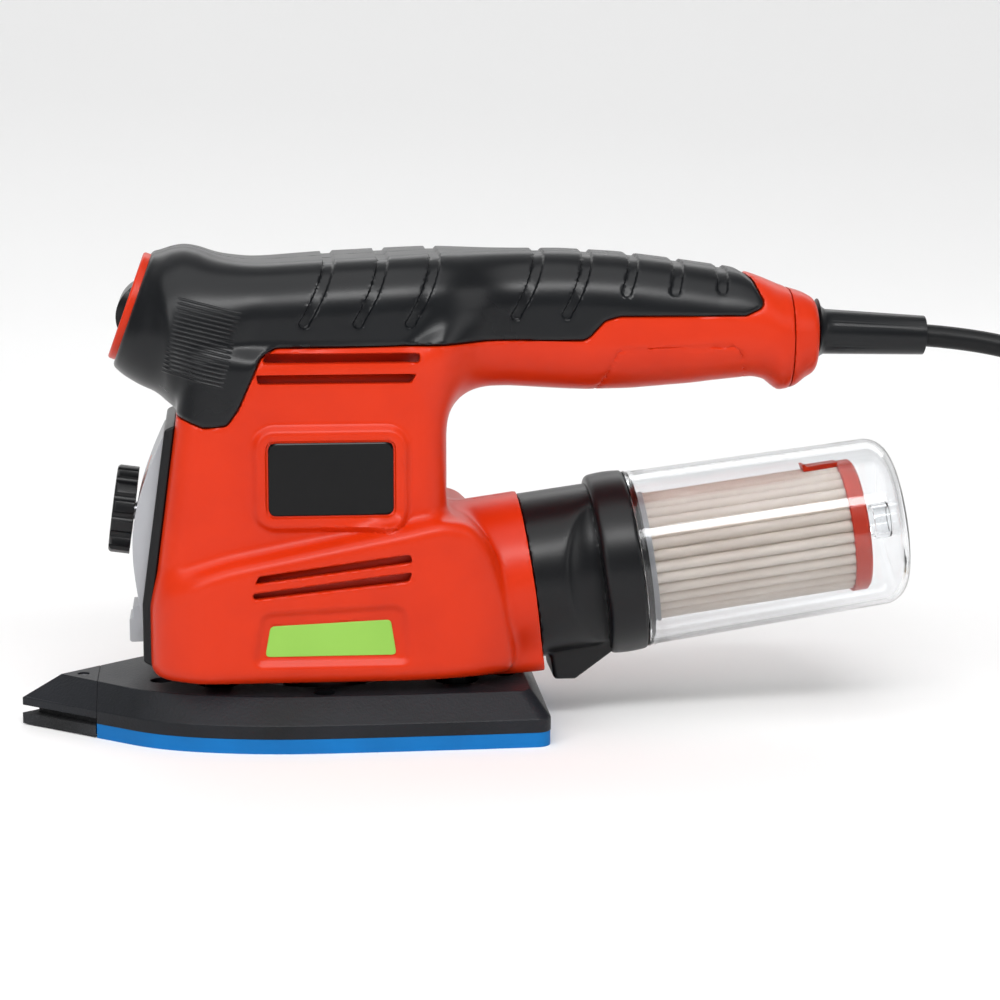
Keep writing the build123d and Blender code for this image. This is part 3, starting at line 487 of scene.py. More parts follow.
def smooth_step(value: Array, low: float, high: float) -> Array:
    """0 below low, 1 above high, smooth between."""
    t = np.clip((value - low) / (high - low), 0.0, 1.0)
    return t * t * (3.0 - 2.0 * t)


class Curve:
    """A smooth curve through a few points."""

    def __init__(self, points: Sequence[Place], softness: float) -> None:
        """Samples the curve once.

        Args:
            points: places and values, in order.
            softness: how far, in millimetres, the corners are rounded.
        """
        step = 0.25
        places, values = zip(*points)
        self.places = np.arange(places[0] - 5 * softness, places[-1] + 5 * softness, step)
        raw = np.interp(self.places, places, values)
        reach = np.arange(-3 * softness, 3 * softness + step, step)
        kernel = np.exp(-0.5 * (reach / softness) ** 2)
        padded = np.pad(raw, len(kernel), mode="edge")
        smooth = np.convolve(padded, kernel / kernel.sum(), mode="same")
        self.values = smooth[len(kernel):-len(kernel)]

    def __call__(self, place: Array) -> Array:
        """The curve's value at each place."""
        return np.interp(place, self.places, self.values)


class SideMap:
    """Signed distance to a closed outline in the side view, negative inside."""

    def __init__(self, outline: Outline, pad: float = 8.0) -> None:
        """Rounds the outline's corners and samples its distance.

        Args:
            outline: x, z and corner radius of each point, in order.
            pad: how far round the outline the samples reach.
        """
        chain = self.rounded(outline)
        self.step = 0.4
        low = chain.min(axis=0) - pad
        high = chain.max(axis=0) + pad
        self.low = low
        xs = np.arange(low[0], high[0], self.step)
        zs = np.arange(low[1], high[1], self.step)
        px, pz = np.meshgrid(xs, zs, indexing="ij")
        self.table = self.distance(chain, px, pz)

    @staticmethod
    def rounded(outline: Outline) -> Array:
        """Points along the outline with an arc at each corner.

        Args:
            outline: x, z and corner radius of each point, in order.

        Returns:
            The points, one in each row.
        """
        made = []
        for i, (x, z, radius) in enumerate(outline):
            here = np.array((x, z), float)
            before = np.array(outline[i - 1][:2]) - here
            after = np.array(outline[(i + 1) % len(outline)][:2]) - here
            before /= np.linalg.norm(before)
            after /= np.linalg.norm(after)
            half = 0.5 * math.acos(float(np.clip(before @ after, -0.9999, 0.9999)))
            if radius <= 0.0:
                made.append(here)
                continue
            start, end = (here + way * radius / math.tan(half) for way in (before, after))
            for t in np.linspace(0.0, 1.0, 7):
                made.append((1 - t) ** 2 * start + 2 * t * (1 - t) * here + t * t * end)
        return np.array(made)

    @staticmethod
    def distance(chain: Array, px: Array, pz: Array) -> Array:
        """Signed distance from each point to the closed chain.

        Args:
            chain: points round the outline.
            px: x of each place.
            pz: z of each place.

        Returns:
            The distances, negative inside.
        """
        best = np.full(px.shape, 1e9)
        inside = np.zeros(px.shape, bool)
        for a, b in zip(chain, np.roll(chain, -1, axis=0)):
            d = b - a
            t = np.clip(((px - a[0]) * d[0] + (pz - a[1]) * d[1]) / max(d @ d, 1e-9), 0.0, 1.0)
            best = np.minimum(best, np.hypot(px - a[0] - t * d[0], pz - a[1] - t * d[1]))
            if a[1] != b[1]:
                crosses = (a[1] > pz) != (b[1] > pz)
                inside ^= crosses & (px < d[0] * (pz - a[1]) / d[1] + a[0])
        return np.where(inside, -best, best)

    def __call__(self, x: Array, z: Array) -> Array:
        """Signed distance at each place, constant beyond the samples.

        Args:
            x: x of each place.
            z: z of each place.

        Returns:
            The value at each place.
        """
        u = np.clip((x - self.low[0]) / self.step, 0, self.table.shape[0] - 1.001)
        v = np.clip((z - self.low[1]) / self.step, 0, self.table.shape[1] - 1.001)
        i, j = u.astype(int), v.astype(int)
        fu, fv = u - i, v - j
        t = self.table
        return ((t[i, j] * (1 - fu) + t[i + 1, j] * fu) * (1 - fv)
                + (t[i, j + 1] * (1 - fu) + t[i + 1, j + 1] * fu) * fv)


class DualContour:
    """Meshes an implicit solid so that its creases stay crisp."""

    def __init__(self, solid: Solid, low: Sequence[float], high: Sequence[float], step: float) -> None:
        """Samples the solid on a grid.

        Args:
            solid: distance to the surface at x, y and z, negative inside.
            low: lowest corner of the grid.
            high: highest corner of the grid.
            step: the grid's spacing.
        """
        self.solid = solid
        self.step = step
        self.low = np.array(low, float)
        self.coarse = 4
        cells = np.ceil((np.array(high) - self.low) / (step * self.coarse)).astype(int)
        self.shape = tuple(cells * self.coarse + 1)
        self.values = self.sampled(cells)

    def at(self, points: Array) -> Array:
        """The solid's distance at rows of points."""
        return self.solid(points[:, 0], points[:, 1], points[:, 2])

    def sampled(self, cells: Array) -> Array:
        """Grid values, exact near the surface and only the sign far from it.

        Args:
            cells: how many coarse cells there are along each axis.

        Returns:
            The values, one for each grid point.
        """
        wide = self.step * self.coarse
        axes = [self.low[a] + wide * np.arange(cells[a] + 1) for a in range(3)]
        grid = np.stack(np.meshgrid(*axes, indexing="ij"), -1).reshape(-1, 3)
        rough = self.at(grid).reshape(cells + 1)
        near = np.abs(rough) < wide * 1.9
        active = near.copy()
        for axis in range(3):
            active |= np.roll(near, 1, axis) | np.roll(near, -1, axis)
        values = rough
        for axis in range(3):
            values = np.repeat(values, self.coarse, axis)
            active = np.repeat(active, self.coarse, axis)
        values = values[:self.shape[0], :self.shape[1], :self.shape[2]].copy()
        active = active[:self.shape[0], :self.shape[1], :self.shape[2]]
        index = np.argwhere(active)
        exact = np.empty(len(index))
        batch = 400000
        for start in range(0, len(index), batch):
            part = slice(start, start + batch)
            exact[part] = self.at(self.low + self.step * index[part])
        values[tuple(index.T)] = exact
        return values

    def crossings(self, axis: int) -> tuple[Array, Array, Array, Array]:
        """Where grid lines along an axis pass through the surface.

        Args:
            axis: 0, 1 or 2.

        Returns:
            Grid places, crossing points, surface normals, and whether each line leaves the solid.
        """
        count = self.shape[axis] - 1
        first = np.take(self.values, range(count), axis)
        second = np.take(self.values, range(1, count + 1), axis)
        index = np.argwhere((first < 0) != (second < 0))
        a, b = first[tuple(index.T)], second[tuple(index.T)]
        points = self.low + self.step * index
        points[:, axis] += self.step * a / (a - b)
        reach = 0.12 * self.step
        slope = np.empty_like(points)
        for k in range(3):
            shift = np.zeros(3)
            shift[k] = reach
            slope[:, k] = self.at(points + shift) - self.at(points - shift)
        slope /= np.maximum(np.linalg.norm(slope, axis=1, keepdims=True), 1e-9)
        return index, points, slope, a < 0

    def mesh(self) -> tuple[Array, Array]:
        """The surface's corners and four-sided faces.

        Returns:
            The corners, and the corner numbers of each face.
        """
        cells, rows, normals, quads = [], [], [], []
        stride = np.array((self.shape[1] * self.shape[2], self.shape[2], 1))
        for axis in range(3):
            index, points, slope, leaves = self.crossings(axis)
            b, c = (axis + 1) % 3, (axis + 2) % 3
            around = []
            for db, dc in ((1, 1), (0, 1), (0, 0), (1, 0)):
                cell = index.copy()
                cell[:, b] -= db
                cell[:, c] -= dc
                number = cell @ stride
                around.append(number)
                cells.append(number)
                rows.append(points)
                normals.append(slope)
            quad = np.stack(around, 1)
            quad[~leaves] = quad[~leaves][:, ::-1]
            quads.append(quad)
        number = np.concatenate(cells)
        ids, where = np.unique(number, return_inverse=True)
        point, normal = np.concatenate(rows), np.concatenate(normals)
        corners = self.solved(ids, where, point, normal, stride)
        faces = np.searchsorted(ids, np.concatenate(quads))
        return corners, faces

    def solved(self, ids: Array, where: Array, point: Array, normal: Array, stride: Array) -> Array:
        """The corner of each cell that fits its surface planes best.

        Args:
            ids: number of each cell on the surface.
            where: the cell of each crossing, as an index into ids.
            point: where each crossing is.
            normal: the surface's normal there.
            stride: how far cell numbers step along each axis.

        Returns:
            One corner for each cell.
        """
        count = len(ids)
        total = np.bincount(where, minlength=count)
        middle = np.stack([np.bincount(where, point[:, k], count) / total for k in range(3)], 1)
        matrix = np.empty((count, 3, 3))
        for i in range(3):
            for j in range(i, 3):
                matrix[:, i, j] = matrix[:, j, i] = np.bincount(where, normal[:, i] * normal[:, j], count)
        offset = np.einsum("ij,ij->i", normal, point - middle[where])
        right = np.stack([np.bincount(where, normal[:, k] * offset, count) for k in range(3)], 1)
        matrix += np.eye(3) * (0.06 * total)[:, None, None]
        move = np.linalg.solve(matrix, right[:, :, None])[:, :, 0]
        cell = np.stack([ids // stride[0], ids % stride[0] // stride[1], ids % stride[1]], 1)
        low = self.low + self.step * cell
        return np.clip(middle + move, low - 0.1 * self.step, low + 1.1 * self.step)


# ------------------------------------------------------------------ the housing's form
@dataclass
class BodyForm:
    """Outer form of the housing, in millimetres, the same on both sides."""

    bottom: float = 20.6
    column_half: float = 33.0
    column_rear: float = 40.5
    bulge_half: float = 40.0
    bulge_rear: float = 68.0
    front_foot: Place = (-54.8, 45.0)
    front_head: Place = (-46.7, 103.5)
    column_top: float = 127.0
    grip_front: float = -46.0
    grip_rear: float = 164.5
    bezel: Place = (-62.1, 139.8)
    bezel_tilt: float = 20.0
    bezel_face: float = 2.3
    head_depth: float = 33.0
    outlet_point: Place = (104.8, 52.6)
    outlet_tilt: float = 8.0
    outlet_end: float = -35.9
    outlet_radius: float = 28.6
    rubber: float = 2.0
    groove_depth: float = 0.9
    groove_half: float = 1.45
    seam_gap: float = 0.28
    switch_ring: Place = (18.5, 5.0)
    switch_throat: Place = (13.6, 20.0)
    cord_height: float = 128.6
    cord_bore: float = 8.6

    def __post_init__(self) -> None:
        """Makes the curves and side maps."""
        self.top = Curve([
            (-48, 148), (-34, 153.0), (-27.9, 154.2), (-17.8, 154.1), (2, 155.3), (37, 156.9), (60, 156.8),
            (80, 156.7), (99, 155.5), (118, 153.0), (137.7, 150.0), (147, 147.0), (154, 143.9), (162, 141.6),
            (170, 136.0)], 2.2)
        self.under = Curve([
            (-48, 112), (-20, 112), (40, 113), (62, 112.6), (80, 111.3), (88, 110.9), (102, 111.1),
            (123, 112.6), (143, 114.8), (147.4, 113.8), (151.7, 109.6), (158.0, 111.2), (160, 113.6),
            (170, 119)], 1.2)
        self.width = Curve([
            (-48, 27.0), (-25, 28.5), (0, 31.5), (26, 31.5), (42, 28.6), (54, 23.0), (63, 20.9), (90, 20.2),
            (120, 20.2), (142, 19.6), (153, 18.8), (160, 16.6), (168, 13.0)], 3.5)
        self.head_top = Curve([
            (-2, 18.2), (3, 18.9), (7, 22.4), (11.3, 24.7), (16.4, 25.2), (21, 23.8), (34, 19)], 1.6)
        self.head_under = Curve([
            (-2, -18.0), (1, -19.0), (5.7, -21.2), (12.5, -22.5), (18, -22.6), (24.5, -23.2),
            (36, -24.0)], 1.8)
        self.head_width = Curve([(-2, 18.4), (1, 19.2), (6, 23.4), (12, 26.3), (20, 28.2), (34, 29.0)], 2.0)
        self.ridge = Curve([
            (-60, 42.0), (-52, 51.5), (-44, 55.6), (-30, 59.8), (25, 70.6), (38, 73.2), (48, 71.6),
            (55, 64.0), (60, 50.0), (63.2, 33.0), (64.5, 20.0), (66, -20.0)], 2.0)
        self.cover = SideMap([
            (-90, 118, 0), (-66, 118, 0), (-58, 112.2, 2), (-47, 107.3, 2), (-37.5, 103.6, 3),
            (-30.2, 104.2, 3), (-26.4, 109.5, 4), (-19.2, 125.6, 5), (-14.5, 128.7, 6), (55, 129.6, 10),
            (86.5, 128.9, 5), (92.5, 135.2, 4), (97.5, 136.6, 4), (139.0, 136.4, 3.2), (145.6, 139.2, 2.6),
            (142.0, 147.2, 3), (136.6, 152.2, 0), (136.6, 175, 0), (-90, 175, 0)], 6.0)
        self.badge = SideMap([(-17.7, 74.6, 3), (23.3, 74.6, 3), (23.3, 99.2, 3), (-17.7, 99.2, 3)])
        self.label = SideMap([(-19.4, 29.6, 1.6), (-17.6, 40.4, 2), (21.8, 42.0, 1.6), (23.6, 29.6, 1.6)])
        self.dent = SideMap([(-24.0, 26.4, 4), (-20.5, 45.2, 5), (27.0, 47.4, 6), (28.5, 26.4, 4)])
        self.vents = [
            SideMap([(-18.8, 123.9, 0.9), (31.4, 123.9, 0.9), (31.6, 126.9, 1.0), (-16.9, 126.9, 1.2)]),
            SideMap([(-20.2, 117.4, 1.3), (28.6, 117.4, 1.4), (30.6, 120.3, 0.5), (-20.6, 120.3, 0.6)]),
            SideMap([(-22.0, 54.0, 0.5), (28.6, 60.2, 1.0), (27.6, 63.0, 1.2), (-20.6, 56.6, 0.8)]),
            SideMap([(-22.6, 48.9, 1.0), (27.4, 54.0, 1.6), (28.4, 57.2, 0.5), (-22.6, 51.0, 0.4)]),
        ]
        self.hatch = SideMap([(87.6, 104, 0), (97.2, 125.6, 3.0), (137.0, 126.4, 4.5), (143.0, 104, 0)])

    def canister_axes(self, x: Array, z: Array) -> tuple[Array, Array]:
        """Distance along the canister's axis and height above it.

        Args:
            x: places along the tool, in millimetres.
            z: heights above the floor.

        Returns:
            The distances along the axis and the heights above it.
        """
        tilt = math.radians(self.outlet_tilt)
        dx, dz = x - self.outlet_point[0], z - self.outlet_point[1]
        return dx * math.cos(tilt) + dz * math.sin(tilt), dz * math.cos(tilt) - dx * math.sin(tilt)

    def bezel_axes(self, x: Array, z: Array) -> tuple[Array, Array]:
        """Depth behind the bezel's face and height up that face.

        Args:
            x: places along the tool, in millimetres.
            z: heights above the floor.

        Returns:
            The depths and the heights.
        """
        tilt = math.radians(self.bezel_tilt)
        dx, dz = x - self.bezel[0], z - self.bezel[1]
        return dx * math.cos(tilt) - dz * math.sin(tilt), dx * math.sin(tilt) + dz * math.cos(tilt)

    def column(self, x: Array, y: Array, z: Array) -> Array:
        """Motor housing with its leaning front.

        Args:
            x: places along the tool, in millimetres.
            y: places across it.
            z: heights above the floor.

        Returns:
            Distance to the surface, negative inside.
        """
        lean = (self.front_head[0] - self.front_foot[0]) / (self.front_head[1] - self.front_foot[1])
        front = self.front_foot[0] + lean * np.maximum(z - self.front_foot[1], 0.0)
        half = (self.column_rear - front) / 2
        upright = rounded_box(x - front - half, y, half, self.column_half, 9.5)
        return soft_max(upright, z - self.column_top, 6.0)

    def bulge(self, x: Array, y: Array, z: Array) -> Array:
        """Skirt round the foot with its rising ridge.

        Args:
            x: places along the tool, in millimetres.
            y: places across it.
            z: heights above the floor.

        Returns:
            Distance to the surface, negative inside.
        """
        half = (self.bulge_rear - self.front_foot[0]) / 2
        plan = rounded_box(x - self.front_foot[0] - half, y, half, self.bulge_half, 20.0)
        rear = (np.abs(y) + (x - 44.0) * 0.52 - self.bulge_half) * 0.9
        plan = soft_max(plan, rear, 10.0)
        slope = np.clip(np.gradient(self.ridge.values, self.ridge.places), -12.0, 2.0)
        steep = np.interp(x, self.ridge.places, slope)
        roof = (z - self.ridge(x)) / np.sqrt(1.0 + steep * steep)
        return soft_max(plan, roof, 5.0)

    def handle(self, x: Array, y: Array, z: Array) -> Array:
        """Palm grip and handle.

        Args:
            x: places along the tool, in millimetres.
            y: places across it.
            z: heights above the floor.

        Returns:
            Distance to the surface, negative inside.
        """
        top, under, width = self.top(x), self.under(x), self.width(x)
        half = (top - under) / 2
        corner = np.minimum(np.minimum(width, half) * 0.9, 17.0)
        bar = rounded_box(y, z - under - half, width, half, corner)
        bar = soft_max(bar, x - self.grip_rear, 2.5)
        return soft_max(bar, self.grip_front - x, 3.0)

    def head(self, x: Array, y: Array, z: Array) -> Array:
        """Bulbous head that carries the switch.

        Args:
            x: places along the tool, in millimetres.
            y: places across it.
            z: heights above the floor.

        Returns:
            Distance to the surface, negative inside.
        """
        depth, up = self.bezel_axes(x, z)
        top, under, width = self.head_top(depth), self.head_under(depth), self.head_width(depth)
        half = (top - under) / 2
        corner = np.minimum(width, half) * 0.93
        ball = rounded_box(y, up - under - half, width, half, corner)
        ball = soft_max(ball, self.bezel_face - depth, 1.4)
        return soft_max(ball, depth - self.head_depth, 6.0)

    def outlet(self, x: Array, y: Array, z: Array) -> Array:
        """Neck for the dust canister.

        Args:
            x: places along the tool, in millimetres.
            y: places across it.
            z: heights above the floor.

        Returns:
            Distance to the surface, negative inside.
        """
        along, up = self.canister_axes(x, z)
        neck = np.hypot(y, up) - self.outlet_radius
        chin = rounded_box(y, up + 13.0, 22.0, 16.0, 5.0)
        neck = soft_min(neck, chin, 3.0)
        neck = soft_max(neck, along - self.outlet_end, 0.6)
        neck = np.maximum(neck, 40.0 - x)
        return soft_max(neck, 18.3 - z, 1.5)

    def body(self, x: Array, y: Array, z: Array) -> Array:
        """The whole outer form before anything is cut into it.

        Args:
            x: places along the tool, in millimetres.
            y: places across it.
            z: heights above the floor.

        Returns:
            Distance to the surface, negative inside.
        """
        upper = soft_min(self.handle(x, y, z), self.head(x, y, z), 9.0)
        blend = 4.0 + 13.0 * smooth_step(x, 25.0, 40.0)
        trunk = soft_min(self.column(x, y, z), upper, blend)
        skirt = soft_min(trunk, self.bulge(x, y, z), 5.0)
        skirt = soft_max(skirt, self.bottom - z, 6.0)
        return soft_min(skirt, self.outlet(x, y, z), 2.2)

    def skin(self, x: Array, y: Array, z: Array) -> Array:
        """The outer form with its raised badge frame and label recess.

        Args:
            x: places along the tool, in millimetres.
            y: places across it.
            z: heights above the floor.

        Returns:
            Distance to the surface, negative inside.
        """
        base = self.body(x, y, z)
        wide = smooth_step(np.abs(y), 18.0, 26.0)
        frame_edge = self.badge(x, z)
        fade = smooth_step(x + z, 36.0, 60.0)
        raised = 1.9 * (1.0 - smooth_step(frame_edge, 2.6, 5.6))
        sunk = 1.1 * (1.0 - smooth_step(frame_edge, 0.0, 0.3))
        base = base - (raised * (0.4 + 0.6 * fade) - sunk) * wide
        dent = 1.5 * (1.0 - smooth_step(self.dent(x, z), -3.0, 0.2))
        seat = 0.4 * (1.0 - smooth_step(self.label(x, z), 0.0, 0.3))
        return base + (dent + seat) * wide

    def rubber_groove(self, x: Array, z: Array) -> Array:
        """Depth of the slanted channels in the grip.

        Args:
            x: places along the tool, in millimetres.
            z: heights above the floor.

        Returns:
            The depths, in millimetres.
        """
        depth = np.zeros_like(x)
        for top_x, foot_x, foot_z in GROOVES:
            rise = GROOVE_TOP - foot_z
            t = np.clip((z - foot_z) / rise, 0.0, 1.0)
            bow = foot_x + (top_x - foot_x) * (1.0 - (1.0 - t) ** 1.5)
            gap = np.hypot(x - bow, np.minimum(z - foot_z, 0.0))
            depth = np.maximum(depth, 1.0 - smooth_step(gap, self.groove_half, 2.0))
        return depth * self.groove_depth

    def switch_seat(self, x: Array, y: Array, z: Array) -> Array:
        """Round recess for the switch's bezel and the throat behind it.

        Args:
            x: places along the tool, in millimetres.
            y: places across it.
            z: heights above the floor.

        Returns:
            Distance to the surface, negative inside.
        """
        depth, rise = self.bezel_axes(x, z)
        reach = np.hypot(y, rise)
        ring = np.maximum(reach - self.switch_ring[0], depth - self.switch_ring[1])
        throat = np.maximum(reach - self.switch_throat[0], depth - self.switch_throat[1])
        return np.minimum(ring, throat)

    def cord_hole(self, y: Array, z: Array) -> Array:
        """Bore along the handle for the cord's boot."""
        return np.hypot(y, z - self.cord_height) - self.cord_bore


# top x, foot x and foot height of each channel in the grip, and the height that they all run up to
GROOVE_TOP = 158.0
GROOVES = [
    (3.6, -5.2, 136.6), (20.8, 12.0, 136.6), (37.6, 28.8, 136.6), (72.0, 63.5, 137.6),
    (88.0, 80.0, 137.6), (103.6, 99.6, 144.6), (118.6, 115.6, 144.6), (133.4, 131.4, 144.8),
]

# x and z of each screw in the right shell
SCREWS = [
    (-34.5, 44.0), (-33.0, 99.5), (32.0, 27.5), (33.0, 99.5),
    (34.0, 59.5), (58.0, 120.0), (100.0, 120.0), (128.0, 119.2),
]


@dataclass
class Housing:
    """The two shells and the two rubber grips."""

    form: BodyForm = field(default_factory=BodyForm)
    wall: float = 3.5
    handle_wall: float = 4.5
    shell_step: float = 0.95
    grip_step: float = 0.65
    rear_seam: float = 155.4
    vent_depth: float = 5.6
    outlet_bore: float = 25.1
    outlet_bore_end: float = -60.0
    hatch_line: Place = (0.3, 0.6)
    orbit_hole: Place = (24.0, 26.0)
    front_wall: float = -45.0
    button_height: float = 35.0
    button_half: Place = (8.0, 6.4)
    spindle: Place = (70.4, 3.4)
    screw_hole: Place = (3.6, 7.5)

    def openings(self, x: Array, y: Array, z: Array) -> Array:
        """Sharp-edged holes for the orbit legs, the button, the knob's spindle and the cord.

        Args:
            x: places along the tool, in millimetres.
            y: places across it.
            z: heights above the floor.

        Returns:
            Distance to the surface, negative inside.
        """
        form = self.form
        orbit = np.maximum(np.hypot(x, y) - self.orbit_hole[0], z - self.orbit_hole[1])
        rise = np.abs(z - self.button_height)
        button = np.maximum(np.abs(y) - self.button_half[0], rise - self.button_half[1])
        spindle = np.hypot(y, z - self.spindle[0]) - self.spindle[1]
        front = np.maximum(np.minimum(button, spindle), x - self.front_wall)
        cord = np.maximum(form.cord_hole(y, z), 140.0 - x)
        return np.minimum(np.minimum(orbit, front), cord)

    def thickness(self, x: Array, z: Array, edge: Array) -> Array:
        """Wall thickness, greater behind the rubber and along the handle.

        Args:
            x: places along the tool, in millimetres.
            z: heights above the floor.
            edge: distance from the edge of the rubber in the side view.

        Returns:
            The thicknesses, in millimetres.
        """
        wall = self.wall + (self.handle_wall - self.wall) * (1.0 - smooth_step(edge, 0.0, 6.0))
        handle = smooth_step(x, 44.0, 60.0) * smooth_step(z, 90.0, 100.0)
        return np.maximum(wall, self.wall + 1.7 * handle)

    def shell(self, side: Side, x: Array, y: Array, z: Array) -> Array:
        """One shell, modelled where y is positive; only the right one has screw holes.

        Args:
            side: the side of the tool.
            x: places along the tool, in millimetres.
            y: places across it.
            z: heights above the floor.

        Returns:
            Distance to the surface, negative inside.
        """
        form = self.form
        plain = form.body(x, y, z)
        edge = form.cover(x, z)
        seat = np.minimum(form.seam_gap - edge, plain + form.rubber + 0.1)
        outer = soft_max(form.skin(x, y, z), seat, 0.7)
        solid = np.maximum(outer, -(plain + self.thickness(x, z, edge)))
        for vent in form.vents:
            slot = vent(x, z)
            baffle = np.maximum(np.abs(plain + self.vent_depth) - 0.7, slot - 2.5)
            solid = np.minimum(soft_max(solid, -slot, 0.5), baffle)
        along, up = form.canister_axes(x, z)
        bore = np.maximum(np.hypot(y, up) - self.outlet_bore, self.outlet_bore_end - along)
        solid = np.maximum(np.maximum(solid, -bore), -form.switch_seat(x, y, z))
        line = np.maximum(np.abs(form.hatch(x, z)) - self.hatch_line[0], -(plain + self.hatch_line[1]))
        solid = soft_max(solid, -line, 0.3)
        solid = soft_max(solid, x - self.rear_seam, 0.4)
        solid = np.maximum(solid, -self.openings(x, y, z))
        if side is Side.RIGHT:
            radius, depth = self.screw_hole
            for place in SCREWS:
                bore = np.hypot(x - place[0], z - place[1]) - radius
                solid = soft_max(solid, -np.maximum(bore, -(plain + depth)), 0.4)
        return soft_max(solid, 0.02 - y, 0.35)

    def grip(self, side: Side, x: Array, y: Array, z: Array) -> Array:
        """One rubber grip, modelled where y is positive; both are alike.

        Args:
            side: the side of the tool.
            x: places along the tool, in millimetres.
            y: places across it.
            z: heights above the floor.

        Returns:
            Distance to the surface, negative inside.
        """
        form = self.form
        plain = form.body(x, y, z)
        outer = plain - 0.25 + form.rubber_groove(x, z)
        solid = soft_max(outer, form.cover(x, z), 1.3)
        solid = np.maximum(solid, -(plain + form.rubber))
        solid = np.maximum(solid, -form.switch_seat(x, y, z))
        return soft_max(solid, 0.02 - y, 0.3)

    def rear_ring(self, x: Array, y: Array, z: Array) -> Array:
        """The ring round the handle's rear end, both sides in one."""
        ring = soft_max(self.form.body(x, y, z), self.rear_seam + 0.3 - x, 0.5)
        return np.maximum(ring, -self.form.cord_hole(y, z))

    def build_ring(self) -> None:
        """Makes the rear ring."""
        contour = DualContour(self.rear_ring, (152.0, -24.0, 104.0), (168.0, 24.0, 150.0), 0.6)
        piece = piece_from("rear_ring_skin", *contour.mesh(), ORANGE, 38.0)
        fitted(piece, "housing", "orange_shell", "rear_end_ring")
        LOG.info("rear ring")

    def build(self) -> None:
        """Makes both shells and both grips."""
        coarse = 1.0
        shell_box = ((-70.0, -2.0, 14.0), (168.0, 44.0, 162.0))
        grip_box = ((-74.0, -2.0, 98.0), (150.0, 36.0, 163.0))
        for kind, solid, box, step, finish, slot in (
            ("shell", self.shell, shell_box, self.shell_step, ORANGE, "orange_shell"),
            ("grip", self.grip, grip_box, self.grip_step, RUBBER, "black_rubber"),
        ):
            for side in Side:
                points, faces = DualContour(partial(solid, side), *box, step * coarse).mesh()
                name = side.name.lower() + "_" + kind
                faces = faces if side is Side.RIGHT else faces[:, ::-1]
                points = points * np.array((1.0, side.value, 1.0))
                piece = piece_from(name + "_skin", points, faces, finish, 38.0)
                fitted(piece, "housing", slot, name)
                LOG.info("%s has %d faces", name, len(faces))


# ------------------------------------------------------------------ badges and labels
def plate_mesh(outline: Outline, back: float, front: float, side: Side,
               edge: float) -> tuple[list, list]:
    """A flat plate with a bevelled front edge, standing across the tool.

    Args:
        outline: x, z and corner radius of each point, counter-clockwise.
        back: how far out the plate's back is.
        front: how far out its face is.
        side: the side of the tool.
        edge: width of the bevel.

    Returns:
        Its corners and faces.
    """
    chain = SideMap.rounded(outline)
    middle = chain.mean(axis=0)
    reach = np.abs(chain - middle).max(axis=0)
    points = []
    for inset, out in ((0.0, back), (0.0, front - edge), (0.35 * edge, front - 0.3 * edge), (edge, front)):
        ring = middle + (chain - middle) * (1.0 - inset / reach)
        points += [(x, side.value * out, z) for x, z in ring]
    count = len(chain)
    faces = [list(range(count))[::-1], list(range(3 * count, 4 * count))]
    for ring in range(3):
        for i in range(count):
            j = (i + 1) % count
            faces.append([ring * count + i, ring * count + j, (ring + 1) * count + j, (ring + 1) * count + i])
    if side is Side.RIGHT:
        faces = [face[::-1] for face in faces]
    return points, faces


@dataclass
class Markings:
    """Blank badges and labels on both sides."""

    badge_outline: Outline = ((-17.3, 75.0, 2.6), (22.9, 75.0, 2.6), (22.9, 98.8, 2.6), (-17.3, 98.8, 2.6))
    label_outline: Outline = ((-19.0, 30.0, 1.4), (23.2, 30.0, 1.4), (21.4, 41.6, 1.6), (-17.2, 40.0, 1.8))
    badge_depth: Place = (31.0, 34.3)
    label_depth: Place = (36.5, 38.5)

    def build(self) -> None:
        """Makes the four plates."""
        for side in Side:
            word = side.name.lower()
            for kind, outline, depth, edge, finish, slot in (
                ("badge", self.badge_outline, self.badge_depth, 0.6, BADGE, "badge_black"),
                ("label", self.label_outline, self.label_depth, 0.2, GREEN, "label_green"),
            ):
                points, faces = plate_mesh(outline, *depth, side, edge)
                piece = piece_from(f"{word}_{kind}_plate", points, faces, finish, 15.0)
                fitted(piece, "housing", slot, f"{word}_{kind}")
                LOG.info("%s %s", word, kind)


